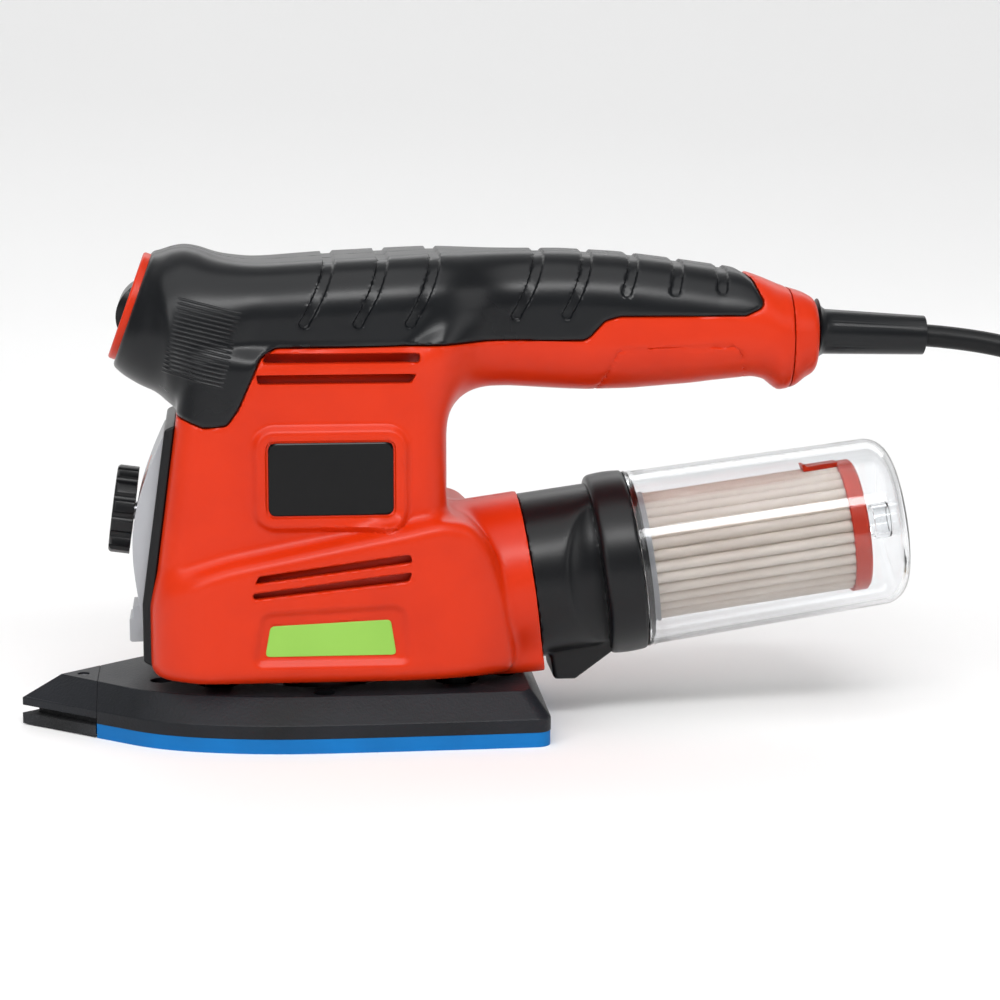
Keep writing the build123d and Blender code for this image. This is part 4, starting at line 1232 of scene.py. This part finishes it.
# ------------------------------------------------------------------ repeated details
class NodeGroup:
    """A geometry node tree that is being put together."""

    def __init__(self, name: str, floats: dict[str, float], counts: dict[str, int] | None = None) -> None:
        """Starts the tree with its inputs.

        Args:
            name: the tree's name.
            floats: names and values of its number inputs.
            counts: names and values of its whole-number inputs.
        """
        self.tree = bpy.data.node_groups.new(name, "GeometryNodeTree")
        self.values: dict[str, float | int] = {}
        self.sockets: dict[str, str] = {}
        for way in ("INPUT", "OUTPUT"):
            self.tree.interface.new_socket(name="Geometry", in_out=way, socket_type="NodeSocketGeometry")
        for kind, table in (("NodeSocketFloat", floats), ("NodeSocketInt", counts or {})):
            for label, value in table.items():
                socket = self.tree.interface.new_socket(name=label, in_out="INPUT", socket_type=kind)
                self.sockets[label] = socket.identifier
                self.values[label] = value
        self.inputs = self.tree.nodes.new("NodeGroupInput")

    def add(self, kind: str, **settings: object) -> bpy.types.Node:
        """Adds a node and sets its options.

        Args:
            kind: the node's type.
            settings: names and values of its options.

        Returns:
            The node.
        """
        node = self.tree.nodes.new(kind)
        for name, value in settings.items():
            setattr(node, name, value)
        return node

    def link(self, source: bpy.types.NodeSocket, target: bpy.types.NodeSocket) -> None:
        """Joins two sockets."""
        self.tree.links.new(source, target)

    def given(self, label: str) -> bpy.types.NodeSocket:
        """The socket of one named input."""
        return self.inputs.outputs[label]

    def math(self, operation: str, *values: bpy.types.NodeSocket | float) -> bpy.types.NodeSocket:
        """One arithmetic step."""
        return math_step(self.tree, operation, *values)

    def vector(self, **parts: bpy.types.NodeSocket) -> bpy.types.NodeSocket:
        """A vector put together from its X, Y and Z parts; those not named are 0.

        Args:
            parts: the socket for each named axis.

        Returns:
            The vector's socket.
        """
        node = self.add("ShaderNodeCombineXYZ")
        for axis, part in parts.items():
            self.link(part, node.inputs[axis])
        return node.outputs[0]

    def position(self) -> bpy.types.Node:
        """A node that gives X, Y and Z of each point.

        Returns:
            The node.
        """
        apart = self.add("ShaderNodeSeparateXYZ")
        self.link(self.add("GeometryNodeInputPosition").outputs[0], apart.inputs[0])
        return apart

    def finished(self, source: bpy.types.NodeSocket, finish: Finish) -> None:
        """Ends the tree in real geometry with its material.

        Args:
            source: the socket that gives.
            finish: the material.
        """
        real = self.add("GeometryNodeRealizeInstances")
        paint = self.add("GeometryNodeSetMaterial")
        paint.inputs["Material"].default_value = finish.material()
        smooth = self.add("GeometryNodeSetShadeSmooth")
        end = self.add("NodeGroupOutput")
        self.link(source, real.inputs["Geometry"])
        self.link(real.outputs["Geometry"], smooth.inputs["Geometry"])
        self.link(smooth.outputs["Geometry"], paint.inputs["Geometry"])
        self.link(paint.outputs["Geometry"], end.inputs[0])

    def grown(self, name: str, finish: Finish, place: Matrix, angle: float = 40.0,
              base: bpy.types.Mesh | None = None) -> bpy.types.Object:
        """Evaluates the tree once into a plain mesh object.

        Args:
            name: the piece's name.
            finish: its material.
            place: where it goes in the shared frame, in metres.
            angle: edges sharper than this, in degrees, stay sharp.
            base: the mesh that the tree starts from, if it needs one.

        Returns:
            The new object.
        """
        seed = linked(name + "_seed", base or bpy.data.meshes.new(name + "_seed"))
        modifier = seed.modifiers.new("grow", "NODES")
        modifier.node_group = self.tree
        for label, value in self.values.items():
            modifier[self.sockets[label]] = value
        graph = bpy.context.evaluated_depsgraph_get()
        mesh = bpy.data.meshes.new_from_object(seed.evaluated_get(graph))
        seed.modifiers.remove(modifier)
        bpy.data.objects.remove(seed)
        mesh.name = name
        mesh.transform(place)
        smoothed(mesh, angle)
        if not mesh.materials:
            mesh.materials.append(finish.material())
        return linked(name, mesh)


def canister_place(along: float) -> Matrix:
    """Frame with +Z along the canister's axis and +Y across the tool.

    Args:
        along: distance from the collar ring's rear face, in millimetres.

    Returns:
        The frame, in metres.
    """
    tilt = math.radians(BodyForm.outlet_tilt)
    point = BodyForm.outlet_point
    across = Vector((0.0, -1.0, 0.0))
    out = Vector((math.cos(tilt), 0.0, math.sin(tilt)))
    up = across.cross(out)
    place = Matrix.Identity(4)
    for column, axis in enumerate((up, across, out)):
        for row in range(3):
            place[row][column] = axis[row]
    place.translation = (Vector((point[0], 0.0, point[1])) + out * along) * MM
    return place


def turned(profile: Sequence[Place], segments: int) -> tuple[list, list]:
    """A solid of revolution about Z from a closed profile.

    Args:
        profile: radius and height of each point, in order.
        segments: how many steps round.

    Returns:
        Its corners and faces, in millimetres.
    """
    points, faces = [], []
    for i in range(segments):
        angle = 2 * math.pi * i / segments
        points += [(r * math.cos(angle), r * math.sin(angle), h) for r, h in profile]
    count = len(profile)
    for i in range(segments):
        here, there = i * count, (i + 1) % segments * count
        for j in range(count):
            k = (j + 1) % count
            faces.append([here + j, here + k, there + k, there + j])
    return points, faces


def arc(centre: Place, radius: float, start: float, end: float, steps: int) -> list[Place]:
    """Points along an arc, angles in degrees."""
    angles = [math.radians(start + (end - start) * i / steps) for i in range(steps + 1)]
    return [(centre[0] + radius * math.cos(a), centre[1] + radius * math.sin(a)) for a in angles]


@dataclass
class Canister:
    """Pleated filter and clear cup on the collar."""

    pleats: int = 32
    filter_radius: float = 21.0
    filter_start: float = 4.4
    filter_length: float = 67.2
    mouth_radius: float = 29.4
    end_radius: float = 28.2
    length: float = 90.0
    wall: float = 1.9
    lining_radii: Place = (16.8, 18.9)
    lining_ends: Place = (4.6, 71.2)
    cap_radius: float = 22.2
    cap_ends: Place = (71.4, 77.1)
    hook_half: float = 3.4

    def sleeve(self) -> None:
        """Makes the pleated paper."""
        group = NodeGroup("pleat_ring", {
            "Radius": (self.filter_radius - 2.2) * MM, "Ridge Width": 3.5 * MM,
            "Ridge Depth": 4.8 * MM, "Length": self.filter_length * MM,
        }, {"Pleats": self.pleats})
        ring = group.add("GeometryNodeMeshCircle", fill_type="NONE")
        group.link(group.given("Pleats"), ring.inputs["Vertices"])
        group.link(group.given("Radius"), ring.inputs["Radius"])
        bar = group.add("GeometryNodeMeshCylinder", fill_type="NGON")
        for label, value in (("Vertices", 20), ("Radius", 0.5), ("Depth", 1.0)):
            bar.inputs[label].default_value = value
        where = group.position()
        turn = group.vector(Z=group.math("ARCTAN2", where.outputs["Y"], where.outputs["X"]))
        size = group.vector(X=group.given("Ridge Depth"), Y=group.given("Ridge Width"),
                            Z=group.given("Length"))
        spread = group.add("GeometryNodeInstanceOnPoints")
        group.link(ring.outputs["Mesh"], spread.inputs["Points"])
        group.link(bar.outputs["Mesh"], spread.inputs["Instance"])
        group.link(turn, spread.inputs["Rotation"])
        group.link(size, spread.inputs["Scale"])
        group.finished(spread.outputs["Instances"], PAPER)
        middle = self.filter_start + self.filter_length / 2
        sleeve = group.grown("pleated_sleeve", PAPER, canister_place(middle))
        fitted(sleeve, "filter", "filter_paper", "filter_paper")
        (inner, outer), (start, end) = self.lining_radii, self.lining_ends
        points, faces = turned([(outer, start), (inner, start), (inner, end), (outer, end)], 96)
        lining = piece_from("filter_lining", points, [face[::-1] for face in faces], PAPER)
        lining.data.transform(canister_place(0.0))
        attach(lining, "filter")
        LOG.info("filter sleeve")

    def cup(self) -> None:
        """Makes the clear cup."""
        m, e, w, n = self.mouth_radius, self.end_radius, self.wall, self.length
        outer = [(m + 0.1, 0.4), (m + 0.35, 0.9), (m + 0.1, 1.6)]
        outer += [(m - 0.05, 2.0), (m + 0.2, 2.8), (m - 0.05, 3.5)]
        outer += [(m - 0.05 - (m - e) * t, 3.5 + (n - 11.5) * t) for t in (0.1, 0.35, 0.65, 0.9)]
        outer += arc((e - 8.0, n - 8.0), 8.0, 0.0, 90.0, 10)
        outer += [(12.0, n), (5.6, n), (5.0, n - 0.6), (0.02, n - 0.6)]
        floor = n - w
        inner = [(0.02, floor), (4.4, floor), (4.4, floor - 6.0)]
        inner += [(6.0, floor - 6.0), (6.0, floor), (13.0, floor)]
        inner += arc((e - w - 6.2, floor - 6.2), 6.2, 90.0, 0.0, 8)
        inner += [(m - w - (m - e) * t, (n - 8.0) * t) for t in (0.85, 0.6, 0.3, 0.1)] + [(m - w, 0.4)]
        points, faces = turned((outer + inner)[::-1], 112)
        cup = piece_from("clear_cup_wall", points, faces, CLEAR, 40.0)
        cup.data.transform(canister_place(0.0))
        fitted(cup, "cup", "clear_plastic", "dust_cup")
        LOG.info("cup")

    def cap(self) -> None:
        """Makes the filter's end cap with its hook."""
        r, (a, b) = self.cap_radius, self.cap_ends
        profile = [(r - 0.4, a), (r, a + 0.4), (r, b - 0.8), (r - 0.8, b), (r - 2.6, b), (r - 3.0, b - 0.5)]
        profile += [(r - 3.2, a + 2.4), (15.0, a + 2.0), (0.02, a + 2.0), (0.02, a + 0.6), (r - 3.0, a + 0.2)]
        points, faces = turned(profile[::-1], 96)
        cap = piece_from("filter_cap", points, faces, ORANGE, 40.0)
        cap.data.transform(canister_place(0.0))
        fitted(cap, "filter", "orange_shell", "filter_end_ring")
        hook = [(r - 1.4, 60.5), (r - 1.4, 72.0), (r + 0.1, 72.0)]
        hook += [(r + 0.1, 61.6), (r + 0.9, 60.9), (r + 0.9, 60.0)]
        corners = [(x, y, h) for y in (-self.hook_half, self.hook_half) for x, h in hook]
        count = len(hook)
        sides = [[i, (i + 1) % count, count + (i + 1) % count, count + i] for i in range(count)]
        sides += [list(range(count))[::-1], list(range(count, 2 * count))]
        tab = piece_from("filter_cap_hook", corners, sides, ORANGE, 30.0)
        tab.data.transform(canister_place(0.0))
        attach(tab, "filter")
        LOG.info("filter cap")

    def build(self) -> None:
        """Makes all of the canister's own pieces."""
        self.sleeve()
        self.cap()
        self.cup()


@dataclass
class Collar:
    """Black collar between the outlet and the cup, with its two finger scoops and latch."""

    neck: float = 27.6
    ring: float = 30.5
    ring_width: float = 12.7
    start: float = -35.6
    bore: float = 22.0
    rim: float = 27.0
    spigot: float = 24.7
    spigot_length: float = 13.5
    scoop_middle: Place = (-9.5, 30.2)
    scoop_half: tuple[float, float, float] = (17.0, 7.0, 27.0)
    latch_half: float = 12.0
    latch: Outline = ((75.9, 22.0, 0), (77.0, 14.4, 1.6), (84.2, 14.4, 2.0),
                      (97.2, 24.0, 1.5), (97.2, 34.0, 0), (75.9, 34.0, 0))

    def __post_init__(self) -> None:
        """Samples the latch's outline."""
        self.form = BodyForm()
        self.latch_map = SideMap(self.latch)

    def solid(self, x: Array, y: Array, z: Array) -> Array:
        """Distance to the collar's surface.

        Args:
            x: places along the tool, in millimetres.
            y: places across it.
            z: heights above the floor.

        Returns:
            Distance to the surface, negative inside.
        """
        along, up = self.form.canister_axes(x, z)
        reach = np.hypot(y, up)
        neck = soft_max(reach - self.neck, self.start - along, 0.6)
        neck = np.maximum(neck, along + 2.0)
        length, depth, height = self.scoop_half
        u, v = (along - self.scoop_middle[0]) / length, (self.scoop_middle[1] - reach) / depth
        scoop = (1.0 - np.sqrt(u ** 2 + v ** 2 + (up / height) ** 2)) * depth
        neck = soft_max(neck, scoop, 0.8)
        foot = soft_max(self.latch_map(x, z), np.abs(y) - self.latch_half, 1.2)
        neck = soft_min(neck, foot, 1.4)
        ring = soft_max(reach - self.ring + 0.012 * (along + 6.0) ** 2, -self.ring_width - along, 2.2)
        ring = soft_max(ring, along, 0.9)
        rim = np.maximum(reach - self.rim, np.maximum(along - 2.6, -6.0 - along))
        ends = np.maximum(self.start - self.spigot_length - along, along + 20.0)
        spigot = np.maximum(reach - self.spigot, ends)
        solid = np.minimum(np.minimum(np.minimum(neck, ring), rim), spigot)
        return np.maximum(solid, self.bore - reach)

    def build(self) -> None:
        """Makes the collar."""
        step = 0.7
        points, faces = DualContour(self.solid, (50.0, -34.0, 10.0), (112.0, 34.0, 88.0), step).mesh()
        piece = piece_from("collar_ring", points, faces, BLACK, 40.0)
        fitted(piece, "collar", "black_plastic", "dust_collar")
        LOG.info("collar has %d faces", len(faces))


@dataclass
class ThumbRibs:
    """Fine ribs on both sides of the head, laid onto the rubber."""

    ribs: int = 19
    pitch: float = 1.42
    height: float = 0.5
    sunk: float = 0.12
    wide: float = 22.0
    centre: Place = (-37.8, 130.9)
    tilt: float = -14.0
    reach: float = 60.0

    def rise(self, group: NodeGroup, flat: bpy.types.Node) -> bpy.types.NodeSocket:
        """Height of the ribs above the rubber, fading to the patch's edges.

        Args:
            group: the tree.
            flat: the node with each point's place on the flat patch.

        Returns:
            The socket with the height.
        """
        step = group.math
        share = step("DIVIDE", flat.outputs["Y"], group.given("Tall"))
        across = step("ABSOLUTE", step("DIVIDE", flat.outputs["X"], group.given("Width")))
        wave = step("SINE", step("MULTIPLY", step("MULTIPLY", share, group.given("Ribs")), 2 * math.pi))
        crest = step("POWER", step("MULTIPLY_ADD", wave, 0.5, 0.5), 0.8)
        side_fade = step("MULTIPLY", step("SUBTRACT", 0.5, across), 9.0)
        end_fade = step("MULTIPLY", step("SUBTRACT", 0.5, step("ABSOLUTE", share)), 12.0)
        fade = step("MINIMUM", step("MINIMUM", side_fade, end_fade), 1.0)
        height = step("MULTIPLY", step("MULTIPLY", crest, fade), group.given("Rib Height"))
        return step("SUBTRACT", height, group.given("Sunk"))

    def stood_up(self, group: NodeGroup, flat: bpy.types.Node) -> bpy.types.NodeSocket:
        """Place of each point once the patch is turned and stands beside the head.

        Args:
            group: the tree.
            flat: the node with each point's place on the flat patch.

        Returns:
            The socket with the place.
        """
        step = group.math
        u, v = flat.outputs["X"], flat.outputs["Y"]
        cosine, sine = math.cos(math.radians(self.tilt)), math.sin(math.radians(self.tilt))
        across = step("ADD", step("MULTIPLY", u, cosine), step("MULTIPLY", v, -sine))
        upward = step("ADD", step("MULTIPLY", u, sine), step("MULTIPLY", v, cosine))
        return group.vector(X=step("ADD", across, self.centre[0] * MM), Y=group.given("Out"),
                            Z=step("ADD", upward, self.centre[1] * MM))

    def tree(self, side: Side) -> NodeGroup:
        """A ribbed grid that is thrown sideways onto the rubber.

        Args:
            side: the side of the head.

        Returns:
            The finished tree.
        """
        group = NodeGroup(f"{side.name.lower()}_thumb_ribs", {
            "Width": self.wide * MM, "Tall": self.ribs * self.pitch * MM, "Rib Height": self.height * MM,
            "Sunk": self.sunk * MM, "Out": side.value * self.reach * MM, "Way": float(-side.value),
        }, {"Ribs": self.ribs})
        grid = group.add("GeometryNodeMeshGrid")
        group.link(group.given("Width"), grid.inputs["Size X"])
        group.link(group.given("Tall"), grid.inputs["Size Y"])
        grid.inputs["Vertices X"].default_value = 41
        group.link(group.math("MULTIPLY_ADD", group.given("Ribs"), 8.0, 1.0), grid.inputs["Vertices Y"])
        flat = group.position()
        keep = group.add("GeometryNodeStoreNamedAttribute", data_type="FLOAT", domain="POINT")
        keep.inputs["Name"].default_value = "rise"
        group.link(grid.outputs["Mesh"], keep.inputs["Geometry"])
        group.link(self.rise(group, flat), keep.inputs["Value"])
        lay = group.add("GeometryNodeSetPosition")
        group.link(keep.outputs["Geometry"], lay.inputs["Geometry"])
        group.link(self.stood_up(group, flat), lay.inputs["Position"])
        ray = group.add("GeometryNodeRaycast", data_type="FLOAT")
        group.link(group.given("Geometry"), ray.inputs["Target Geometry"])
        group.link(group.vector(Y=group.given("Way")), ray.inputs["Ray Direction"])
        stored = group.add("GeometryNodeInputNamedAttribute", data_type="FLOAT")
        stored.inputs["Name"].default_value = "rise"
        lift = group.add("ShaderNodeVectorMath", operation="SCALE")
        group.link(ray.outputs["Hit Normal"], lift.inputs[0])
        group.link(stored.outputs[0], lift.inputs["Scale"])
        total = group.add("ShaderNodeVectorMath", operation="ADD")
        group.link(ray.outputs["Hit Position"], total.inputs[0])
        group.link(lift.outputs[0], total.inputs[1])
        drape = group.add("GeometryNodeSetPosition")
        group.link(lay.outputs["Geometry"], drape.inputs["Geometry"])
        group.link(total.outputs[0], drape.inputs["Position"])
        group.link(ray.outputs["Is Hit"], drape.inputs["Selection"])
        group.finished(drape.outputs["Geometry"], RUBBER)
        return group

    def build(self) -> None:
        """Makes one patch of ribs on each side."""
        for side in Side:
            word = side.name.lower()
            base = bpy.data.objects[f"{word}_grip_skin"].data.copy()
            piece = self.tree(side).grown(f"{word}_thumb_ribs", RUBBER, Matrix.Identity(4), 60.0, base)
            if side is Side.LEFT:
                piece.data.flip_normals()
            fitted(piece, "housing", "black_rubber")
            LOG.info("%s thumb ribs", word)


# ------------------------------------------------------------------ cord
@dataclass
class Cord:
    """The mains cord with its coil, tie and plug."""

    diameter: float = 7.5
    coil_centre: Place = (352.0, 0.0)
    coil_outer: float = 50.0
    turns: int = 3
    steps_per_turn: int = 16
    tail: float = 32.0
    route: Outline = (
        (202.0, 0.0, 127.1), (224.0, -0.5, 125.2), (248.0, -8.0, 117.5), (267.0, -25.0, 104.0),
        (281.0, -43.0, 82.0), (291.0, -54.0, 55.0), (304.0, -57.0, 28.0), (325.0, -53.5, 8.6),
        (352.0, -50.0, 3.75),
    )

    def coil_points(self) -> list[tuple[float, float, float]]:
        """Two flat spirals, inwards on the floor and outwards on top.

        Returns:
            The points, in millimetres.
        """
        radius = self.diameter / 2
        inner = self.coil_outer - self.turns * self.diameter
        flat = self.turns * self.steps_per_turn
        climb = self.steps_per_turn // 2
        points = []
        for i in range(1, 2 * flat + climb + 1):
            angle = -math.pi / 2 + 2 * math.pi * i / self.steps_per_turn
            if i <= flat:
                reach, height = self.coil_outer - self.diameter * i / self.steps_per_turn, radius
            elif i <= flat + climb:
                reach, height = inner, radius + self.diameter * (i - flat) / climb
            else:
                reach = inner + self.diameter * (i - flat - climb) / self.steps_per_turn
                height = 3 * radius
            across, away = reach * math.cos(angle), reach * math.sin(angle)
            points.append((self.coil_centre[0] + across, self.coil_centre[1] + away, height))
        return points

    def build(self) -> None:
        start, top = self.coil_centre[0], 1.5 * self.diameter
        last = [(start - self.tail * share, self.coil_outer, top) for share in (0.5, 1.0)]
        points = list(self.route) + self.coil_points() + last
        curve = bpy.data.curves.new("mains_cord", "CURVE")
        curve.dimensions = "3D"
        spline = curve.splines.new("NURBS")
        spline.points.add(len(points) - 1)
        for point, place in zip(spline.points, points):
            point.co = (place[0] * MM, place[1] * MM, place[2] * MM, 1.0)
        spline.order_u = 3
        spline.use_endpoint_u = True
        spline.resolution_u = 8
        curve.bevel_depth = self.diameter / 2 * MM
        curve.bevel_resolution = 5
        curve.use_fill_caps = True
        curve.materials.append(JACKET.material())
        piece = linked("mains_cord", curve)
        fitted(piece, "housing", "cord_jacket", "cord_lead", "cord_coil", "cord_tail")
        plug = refined("plug_body", JACKET, "mains_plug", "housing", "cord_jacket", bevel=0.6)
        blades = refined("plug_blades", BRASS, "plug_pins", "housing", "brass", bevel=0.2)
        tie = refined("cord_tie", RUBBER, "coil_tie", "housing", "black_rubber")


# ------------------------------------------------------------------ studio
@dataclass
class Studio:
    """Floor, lights and camera."""

    target: tuple[float, float, float] = (60.0, 0.0, 73.3)
    distance: float = 1000.0
    azimuth: float = -5.0
    elevation: float = 10.0
    lens: float = 108.0
    aim: tuple[float, float, float] = (60.0, 0.0, 80.0)
    floor_half: float = 6.0
    sweep: float = 1.2

    def camera(self) -> None:
        """Places the camera."""
        a, e = math.radians(self.azimuth), math.radians(self.elevation)
        back = Vector((math.sin(a) * math.cos(e), -math.cos(a) * math.cos(e), math.sin(e)))
        data = bpy.data.cameras.new("studio_camera")
        data.lens = self.lens
        data.sensor_width = 36.0
        data.clip_end = 20.0
        camera = linked("studio_camera", data)
        camera.location = (Vector(self.target) + back * self.distance) * MM
        camera.rotation_euler = (-back).to_track_quat("-Z", "Y").to_euler()
        bpy.context.scene.camera = camera

    def light(self, name: str, place: tuple[float, float, float], size: Place, power: float) -> None:
        """Adds one soft rectangular light that points at the object.

        Args:
            name: the light's name.
            place: where it stands, in metres.
            size: its width and height, in metres.
            power: its power, in watts.
        """
        data = bpy.data.lights.new(name, "AREA")
        data.shape = "RECTANGLE"
        data.size, data.size_y = size
        data.energy = power
        lamp = linked(name, data)
        lamp.location = place
        aim = Vector(self.aim) * MM - lamp.location
        lamp.rotation_euler = aim.to_track_quat("-Z", "Y").to_euler()

    def sky(self) -> None:
        """Adds the broad overhead light and the pale surroundings."""
        data = bpy.data.lights.new("sky_lamp", "SUN")
        data.energy = 1.5
        data.angle = math.radians(70.0)
        linked("sky_lamp", data).rotation_euler = (math.radians(22.0), math.radians(-8.0), 0.0)
        world = bpy.data.worlds.new("studio_world")
        world.use_nodes = True
        backdrop = world.node_tree.nodes["Background"]
        backdrop.inputs["Color"].default_value = (1.0, 1.0, 1.0, 1.0)
        backdrop.inputs["Strength"].default_value = 0.26
        bpy.context.scene.world = world
        bpy.context.scene.view_settings.view_transform = "Standard"

    def floor(self) -> None:
        """Lays the plain floor, which sweeps up behind the object."""
        half, sweep = self.floor_half, self.sweep
        rows = [(-half, 0.0), (sweep, 0.0)]
        for angle in np.radians(np.arange(7.5, 91.0, 7.5)):
            rows.append((sweep + sweep * math.sin(angle), sweep - sweep * math.cos(angle)))
        rows.append((2 * sweep, half))
        points = [(x, y, z) for y, z in rows for x in (-half, half)]
        faces = [(2 * i, 2 * i + 1, 2 * i + 3, 2 * i + 2) for i in range(len(rows) - 1)]
        mesh = bpy.data.meshes.new("studio_floor")
        mesh.from_pydata(points, [], faces)
        mesh.shade_smooth()
        paint = bpy.data.materials.new("studio_paint")
        paint.use_nodes = True
        shader = paint.node_tree.nodes["Principled BSDF"]
        shader.inputs["Base Color"].default_value = (0.9, 0.9, 0.9, 1.0)
        shader.inputs["Roughness"].default_value = 0.7
        mesh.materials.append(paint)
        floor = linked("studio_floor", mesh)

    def build(self) -> None:
        """Makes the whole set."""
        self.camera()
        self.light("top_softbox", (0.12, -0.95, 0.98), (1.0, 0.26), 8.0)
        self.light("front_softbox", (-0.9, -1.1, 0.75), (0.5, 0.8), 4.2)
        self.light("side_softbox", (1.2, -0.8, 0.6), (0.4, 0.7), 1.8)
        self.light("back_softbox", (0.2, 1.2, 0.9), (1.8, 0.4), 3.5)
        self.sky()
        self.floor()


def dress_nodes(skip: set[str]) -> None:
    """Gives every CAD node that still shows its finish.

    Args:
        skip: nodes that another piece stands for.
    """
    slots = {entry["node"]: entry["material_slot"] for entry in frame["record"]["subparts"]}
    for name, node in frame["nodes"].items():
        if name in skip:
            continue
        material = NODE_FINISH[slots[name]].material()
        if node.material_slots:
            for holder in node.material_slots:
                holder.material = material
        else:
            node.data.materials.append(material)


# CAD node, finish, piece, body, slot, sharp angle in degrees and bevel in millimetres
REFINED: list[tuple[str, AnyFinish, str, str, str, float, float]] = [
    ("switch_bezel", ORANGE, "bezel_ring", "housing", "orange_shell", 30.0, 0.0),
    ("power_rocker", BLACK, "rocker_cap", "rocker", "black_plastic", 30.0, 0.8),
    ("front_trim", BLACK, "trim_frame", "housing", "black_plastic", 30.0, 0.8),
    ("selector_plate", DIAL, "selector_face", "housing", "grey_plastic", 30.0, 0.6),
    ("selector_knob", BLACK, "knob_cap", "selector", "black_plastic", 24.0, 0.4),
    ("release_button", GREY, "release_key", "release", "grey_plastic", 30.0, 0.5),
    ("strain_relief", RUBBER, "cord_boot", "housing", "black_rubber", 30.0, 0.3),
    ("platen_base", PLATEN, "platen_shoe", "platen", "platen_plastic", 24.0, 0.35),
    ("nose_tip", PLATEN, "platen_nose", "platen", "platen_plastic", 24.0, 0.3),
    ("sanding_pad", BLUE, "foam_sole", "platen", "blue_foam", 30.0, 0.0),
]

# CAD nodes that the classes' own pieces stand for
OWN_MODELS = {
    "left_shell", "right_shell", "left_grip", "right_grip", "cord_lead", "cord_coil", "cord_tail",
    "plug_body", "plug_blades", "cord_tie", "dust_collar", "dust_cup", "filter_paper", "filter_end_ring",
    "left_badge", "right_badge", "left_label", "right_label", "rear_end_ring",
}


def main() -> None:
    """Builds the studio, the cord and every piece."""
    Studio().build()
    LOG.info("studio")
    Cord().build()
    LOG.info("cord")
    housing = Housing()
    housing.build()
    housing.build_ring()
    ThumbRibs().build()
    Markings().build()
    Collar().build()
    Canister().build()
    for row in REFINED:
        LOG.info("%s", refined(*row).name)
    dress_nodes({row[0] for row in REFINED} | OWN_MODELS)


if __name__ == "__main__":
    main()
